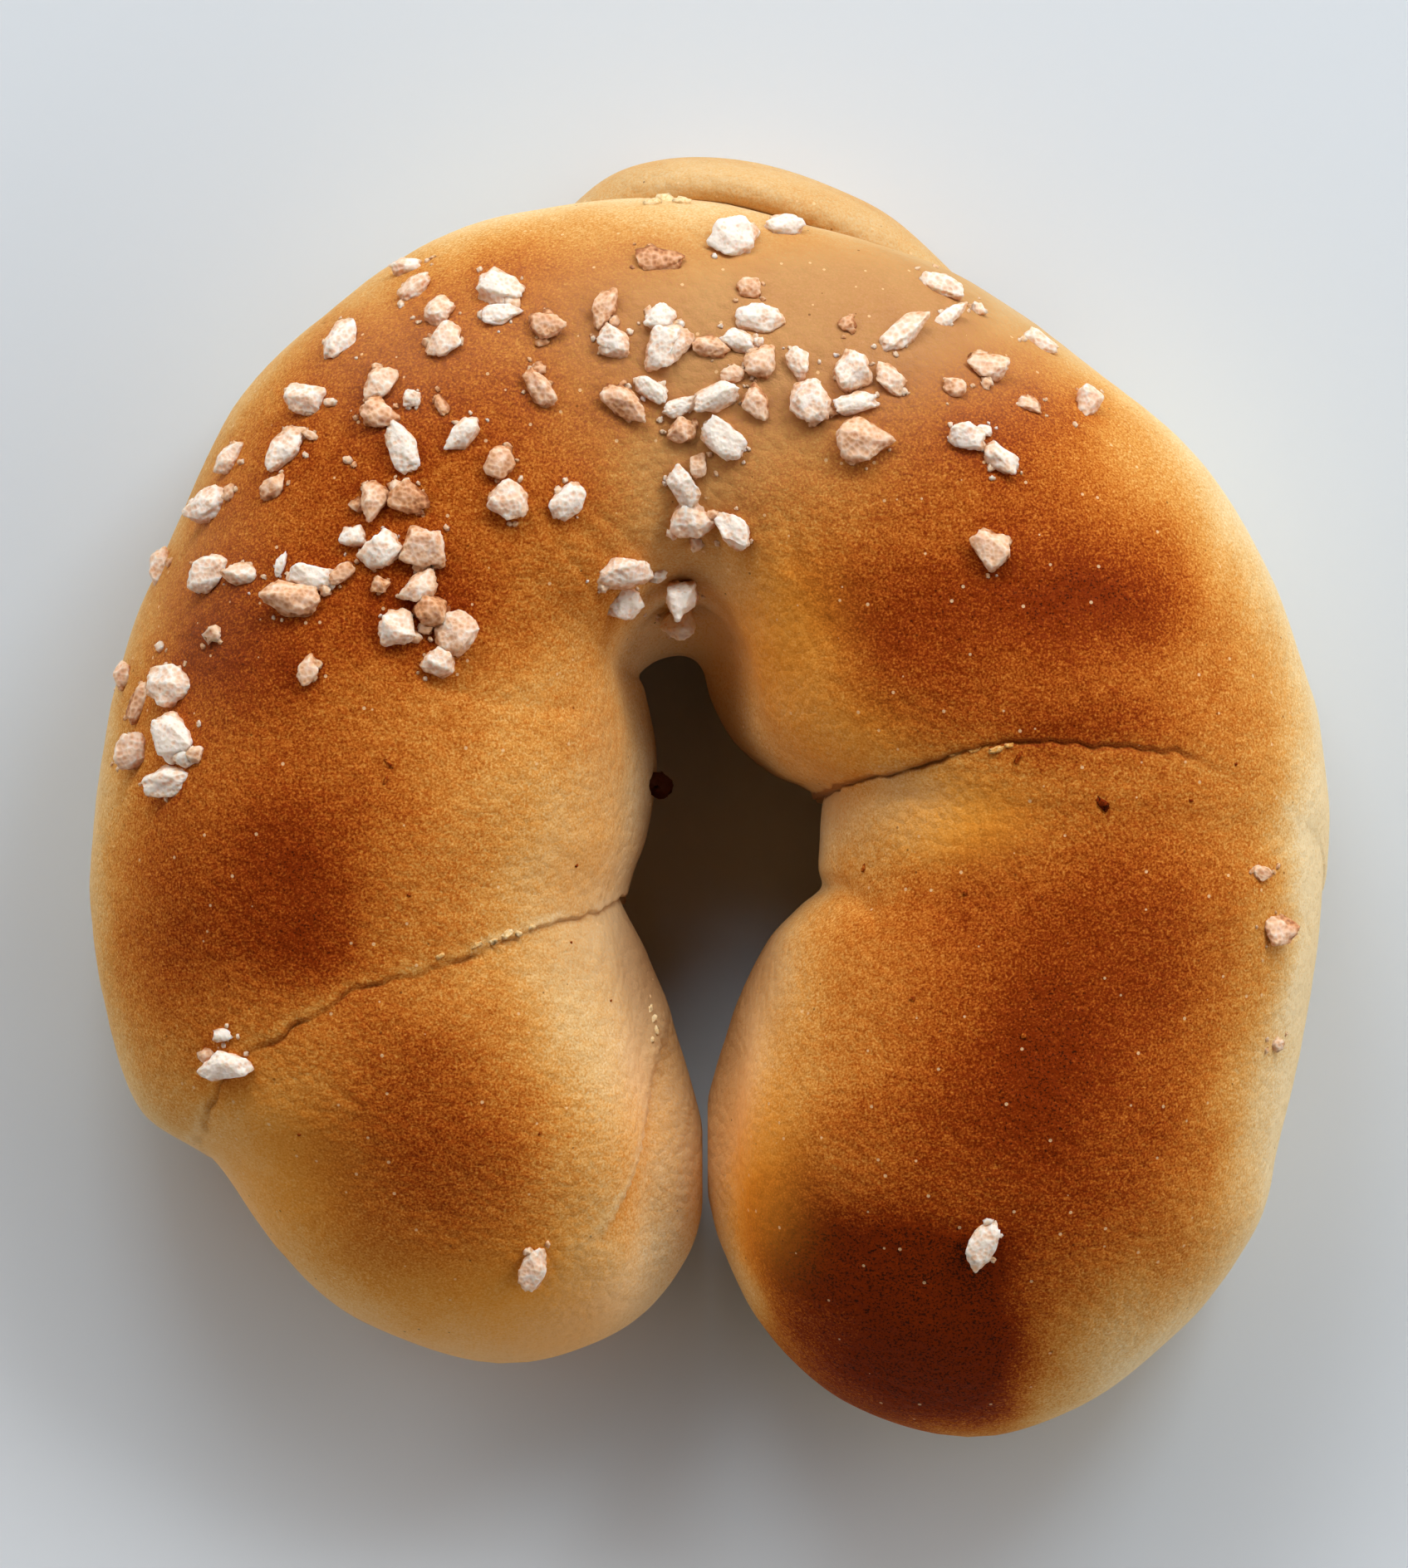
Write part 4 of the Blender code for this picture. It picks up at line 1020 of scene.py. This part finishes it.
# small bits of the crust itself: x, y, length, width, turn, browning, height
crustBits = {
    "flakes of the left seam": [
        (-22.4, -14.2, 1.1, 0.5, 25, 0.2, 0.2), (-20.9, -13.9, 0.9, 0.6, 10, 0.14, 0.2),
        (-19.6, -13.2, 1.2, 0.6, 40, 0.12, 0.25), (-18.5, -13.1, 0.7, 0.5, -20, 0.1, 0.2),
        (-17.2, -12.5, 0.9, 0.5, 15, 0.12, 0.2), (-26.0, -15.3, 0.8, 0.4, 30, 0.25, 0.2),
    ],
    "flakes of the right seam": [
        (23.6, 4.2, 1.3, 0.5, 12, 0.32, 0.22), (25.6, 4.6, 1.2, 0.5, 15, 0.3, 0.22),
        (27.5, 4.6, 1.4, 0.5, 20, 0.28, 0.25), (28.8, 5.0, 0.8, 0.4, 15, 0.32, 0.2),
    ],
    "flakes of the left horn's layer": [
        (-5.8, -20.4, 0.8, 0.45, 70, 0.06, 0.2), (-5.5, -21.4, 0.9, 0.5, 60, 0.04, 0.22),
        (-5.2, -22.5, 0.8, 0.45, 80, 0.06, 0.2), (-5.6, -23.4, 0.6, 0.4, 75, 0.08, 0.18),
    ],
    "flakes of the crown edge": [
        (-5.6, 57.2, 1.6, 0.9, 10, 0.06, 0.7), (-4.2, 57.5, 1.8, 1.0, 0, 0.04, 0.8),
        (-2.7, 57.3, 1.5, 0.9, -10, 0.04, 0.7), (3.9, 56.6, 1.4, 0.7, -10, 0.06, 0.6),
        (9.6, 55.2, 1.5, 0.7, -20, 0.06, 0.6),
    ],
    "burnt specks": [
        (37.8, -0.6, 1.5, 0.8, -45, 0.95, 0.25), (46.3, -0.3, 0.4, 0.25, 0, 0.8, 0.15),
        (50.6, 3.2, 0.35, 0.25, 30, 0.8, 0.15), (29.7, 3.9, 1.3, 0.4, 62, 0.75, 0.2),
        (-12.9, -6.6, 0.4, 0.28, 20, 0.8, 0.15), (-29.0, -9.4, 0.35, 0.25, 0, 0.8, 0.15),
        (-16.4, -32.4, 0.32, 0.22, 50, 0.78, 0.15), (-39.6, -32.5, 0.32, 0.25, 0, 0.78, 0.15),
        (-31.0, 3.3, 1.0, 0.35, -50, 0.7, 0.2), (-31.2, 1.7, 0.9, 0.35, 60, 0.7, 0.2),
        (13.6, 56.2, 0.35, 0.35, 0, 0.95, 0.3), (24.6, -9.2, 0.5, 0.45, 0, 0.65, 0.25),
        (19.5, -19.4, 0.5, 0.45, 0, 0.7, 0.25), (30.2, -23.0, 0.6, 0.5, 0, 0.65, 0.25),
        (14.8, -6.8, 0.8, 0.35, 70, 0.6, 0.15), (-13.4, -14.0, 0.28, 0.2, 0, 0.75, 0.12),
        (-9.6, -19.6, 0.3, 0.2, 40, 0.75, 0.12), (-3.6, 1.1, 2.6, 2.4, 80, 1.2, 2.2),
    ],
}
bits = {"stone": {"Seed": 23, "Facets": 2, "Divisions": 0, "Corners": 0.2, "Rounding": 0}}


def stoneTree(name, material):
    tree = bpy.data.node_groups.new(name, "GeometryNodeTree")
    tree.interface.new_socket("Geometry", in_out="INPUT", socket_type="NodeSocketGeometry")
    for label, value in sugar["stone"].items():
        kind = "NodeSocketInt" if isinstance(value, int) else "NodeSocketFloat"
        tree.interface.new_socket(label, in_out="INPUT", socket_type=kind).default_value = value
    tree.interface.new_socket("Geometry", in_out="OUTPUT", socket_type="NodeSocketGeometry")
    maths, step = partial(mathNode, tree), partial(addNode, tree)
    given, result = step("NodeGroupInput"), tree.nodes.new("NodeGroupOutput").inputs
    position = step("GeometryNodeInputPosition")["Position"]

    def vectors(operation, first, second):
        values = {0: first, "Scale" if operation == "SCALE" else 1: second}
        return step("ShaderNodeVectorMath", values, operation=operation)["Vector"]

    def mark(label, kind="FLOAT_VECTOR"):
        return step("GeometryNodeInputNamedAttribute", {"Name": label}, data_type=kind)["Attribute"]

    def settle(geometry, socket, value):
        return step("GeometryNodeSetPosition", {"Geometry": geometry, socket: value})["Geometry"]

    def keepPlace(geometry):
        values = {"Geometry": geometry, "Name": "stonePlace", "Value": position}
        return step("GeometryNodeStoreNamedAttribute", values, data_type="FLOAT_VECTOR")["Geometry"]

    def turned(vector, euler):
        rotation = step("FunctionNodeEulerToRotation", {"Euler": euler})["Rotation"]
        return step("FunctionNodeRotateVector", {"Vector": vector, "Rotation": rotation})["Vector"]

    def randomVector(**values):
        values["Seed"] = given["Seed"]
        return step("FunctionNodeRandomValue", values, data_type="FLOAT_VECTOR")["Value"]

    # a many-cornered stone for each nib, at the origin while it is being shaped
    ball = step("GeometryNodeMeshIcoSphere", {"Radius": sugar["radius"], "Subdivisions": given["Facets"]})
    spread = {"Points": given["Geometry"], "Instance": keepPlace(ball["Mesh"])}
    spread = step("GeometryNodeInstanceOnPoints", spread)["Instances"]
    stones = step("GeometryNodeRealizeInstances", {"Geometry": spread})["Geometry"]
    moved = vectors("SCALE", randomVector(Min=(-1.0, -1.0, -1.0)), given["Corners"])
    # one turn for all corners of a stone
    tumble = randomVector(Max=(2.0 * math.pi,) * 3, ID=mark("nibSeed", "FLOAT"))
    shaped = settle(stones, "Position", turned(vectors("ADD", mark("stonePlace"), moved), tumble))
    divided = step("GeometryNodeSubdivideMesh", {"Mesh": shaped, "Level": given["Divisions"]})["Mesh"]
    blur = {"Value": position, "Iterations": given["Rounding"]}
    blur = step("GeometryNodeBlurAttribute", blur, data_type="FLOAT_VECTOR")["Value"]
    rounded = settle(divided, "Position", blur)

    own = vectors("ADD", position, mark("nibSeed", "FLOAT"))
    pushes = []
    for label, (scale, detail) in sugar["noises"].items():
        push = step("ShaderNodeTexNoise", {"Scale": scale, "Detail": detail, "Vector": own})["Fac"]
        pushes.append(maths("MULTIPLY", maths("SUBTRACT", push, 0.5), given[label]))
    outward = step("GeometryNodeInputNormal")["Normal"]
    lumpy = settle(rounded, "Offset", vectors("SCALE", outward, maths("ADD", *pushes)))

    # then each goes to its own place, turned and at its own size
    home = turned(vectors("MULTIPLY", position, mark("nibScale")), mark("nibTurn"))
    placed = settle(keepPlace(lumpy), "Position", vectors("ADD", home, mark("nibPlace")))
    smooth = step("GeometryNodeSetShadeSmooth", {"Geometry": placed})["Geometry"]
    painted = step("GeometryNodeSetMaterial", {"Geometry": smooth, "Material": material})["Geometry"]
    feed(tree, result, {"Geometry": painted})
    return tree


def makeStones(name, rows, surface, tree, stone, toneName="nibTone"):
    piece = newObject(name, nibPoints(name, rows, surface, toneName))
    modifier = piece.modifiers.new("stones", "NODES")
    modifier.node_group = tree
    for socket in tree.interface.items_tree:
        if socket.in_out == "INPUT" and socket.name in stone:
            modifier[socket.identifier] = stone[socket.name]
    # the modifier's result becomes the piece's own mesh
    graph = bpy.context.evaluated_depsgraph_get()
    result = bpy.data.meshes.new_from_object(piece.evaluated_get(graph))
    piece.modifiers.clear()
    piece.data = result
    return piece


studio = {
    "floorColour": (214, 219, 222),
    "floorRoughness": 0.7,
    "floorSize": 3.0,
    "roomColour": (1.0, 0.95, 0.93),
    "fill": 0.5,
    "fillHeight": (0.3, 0.42),  # heights are sines of the angle above the table
    "skyline": 7.9,
    "skylineHeight": 0.57,
    "skylineReach": (0.03, 0.11),
    "skylineDirection": 75.0,
    # windows: direction on the table, height angle, power
    "windows": {"rightWindow": (56.0, 37.0, 2.2), "leftWindow": (102.0, 37.0, 1.5)},
    "windowColour": (0.74, 0.88, 1.0),
    "windowSize": 0.26,
    "windowDistance": 0.8,
    "sensorHeight": 24.0,
    "cameraHeight": 1.5,  # above the focus
    "frameHeight": 0.15104,
    "frameCentre": (-0.0006, 0.00128),
    "focusHeight": 0.013,
}


def makeFloor():
    size = studio["floorSize"]
    mesh = bpy.data.meshes.new("floor")
    corners = [(-size, -size, 0), (size, -size, 0), (size, size, 0), (-size, size, 0)]
    mesh.from_pydata(corners, [], [(0, 1, 2, 3)])
    material, tree, shader = newMaterial("paleTable")
    colour = linearColour(*studio["floorColour"])
    feed(tree, shader, {"Base Color": colour, "Roughness": studio["floorRoughness"]})
    mesh.materials.append(material)
    newObject("floor", mesh)


def makeRoom():
    # soft light from low down all round and a bright band above the windows, strongest in one direction
    world = bpy.data.worlds.new("softRoom")
    world.use_nodes = True
    tree = world.node_tree
    maths = partial(mathNode, tree)
    direction = addNode(tree, "ShaderNodeTexCoord")["Generated"]
    x, y, z = addNode(tree, "ShaderNodeSeparateXYZ", {"Vector": direction})
    away = maths("ABSOLUTE", maths("SUBTRACT", z, studio["skylineHeight"]))
    band = mapRange(tree, away, (*studio["skylineReach"], studio["skyline"], 0.0), "SMOOTHSTEP")
    along = maths("SUBTRACT", maths("ARCTAN2", y, x), math.radians(studio["skylineDirection"]))
    facing = maths("ADD", maths("MULTIPLY", maths("COSINE", along), 0.5), 0.5)
    fill = mapRange(tree, z, (*studio["fillHeight"], studio["fill"], 0.0), "SMOOTHSTEP")
    strength = maths("ADD", maths("MULTIPLY", band, facing), fill)
    light = {"Color": (*studio["roomColour"], 1.0), "Strength": strength}
    feed(tree, tree.nodes["Background"].inputs, light)
    bpy.context.scene.world = world


def makeWindows():
    for name, (azimuth, elevation, power) in studio["windows"].items():
        light = bpy.data.lights.new(name, "AREA")
        light.energy, light.size, light.color = power, studio["windowSize"], studio["windowColour"]
        rise, turn = math.radians(elevation), math.radians(azimuth)
        level = math.cos(rise)
        direction = Vector((level * math.cos(turn), level * math.sin(turn), math.sin(rise)))
        lamp = newObject(name, light)
        lamp.location = direction * studio["windowDistance"]
        lamp.rotation_euler = direction.to_track_quat("Z", "Y").to_euler()


def makeCamera():
    data = bpy.data.cameras.new("overhead")
    data.sensor_fit = "VERTICAL"
    data.sensor_height = studio["sensorHeight"]
    data.lens = data.sensor_height * studio["cameraHeight"] / studio["frameHeight"]
    camera = newObject("overhead", data)
    camera.location = (*studio["frameCentre"], studio["focusHeight"] + studio["cameraHeight"])
    bpy.context.scene.camera = camera


makeCamera()
makeRoom()
makeWindows()
makeFloor()
print("stage, lights and camera are set")

crustSkin = crustMaterial(skinGrainGroup())
doughPiece, flapPiece = makeDough(), makeFlap()
for piece in (doughPiece, flapPiece):
    piece.data.materials.append(crustSkin)
print("dough is shaped and baked:", len(doughPiece.data.polygons), "faces")

surface = BVHTree.FromObject(doughPiece, bpy.context.evaluated_depsgraph_get())
nibTree = stoneTree("pearlSugarNibs", sugarMaterial())
bitTree = stoneTree("crustFlakes", crustSkin)
largeRows = [row for row in nibList if row[2] >= sugar["crumbSize"]]
smallRows = [row for row in nibList if row[2] < sugar["crumbSize"]]
nibPiece = makeStones("sugarNibs", largeRows, surface, nibTree, sugar["stone"])
crumbPiece = makeStones("sugarCrumbs", crumbRows() + smallRows, surface, nibTree, crumbs["stone"])
bitRows = [row for rows in crustBits.values() for row in rows]
bitPiece = makeStones("crustBits", bitRows, surface, bitTree, bits["stone"], "bake")
for label in ("crack", "holeWallShade", "filmAndShade", "paintedWarmLight"):
    addAttribute(bitPiece.data, label, [0.0] * len(bitPiece.data.vertices))
print("sugar is on:", len(nibPiece.data.polygons) + len(crumbPiece.data.polygons), "faces")

for piece in (doughPiece, flapPiece, nibPiece, crumbPiece, bitPiece):
    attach(piece, "root")
    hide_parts("crescent_roll")

scene = bpy.context.scene
scene.view_settings.view_transform = "Standard"
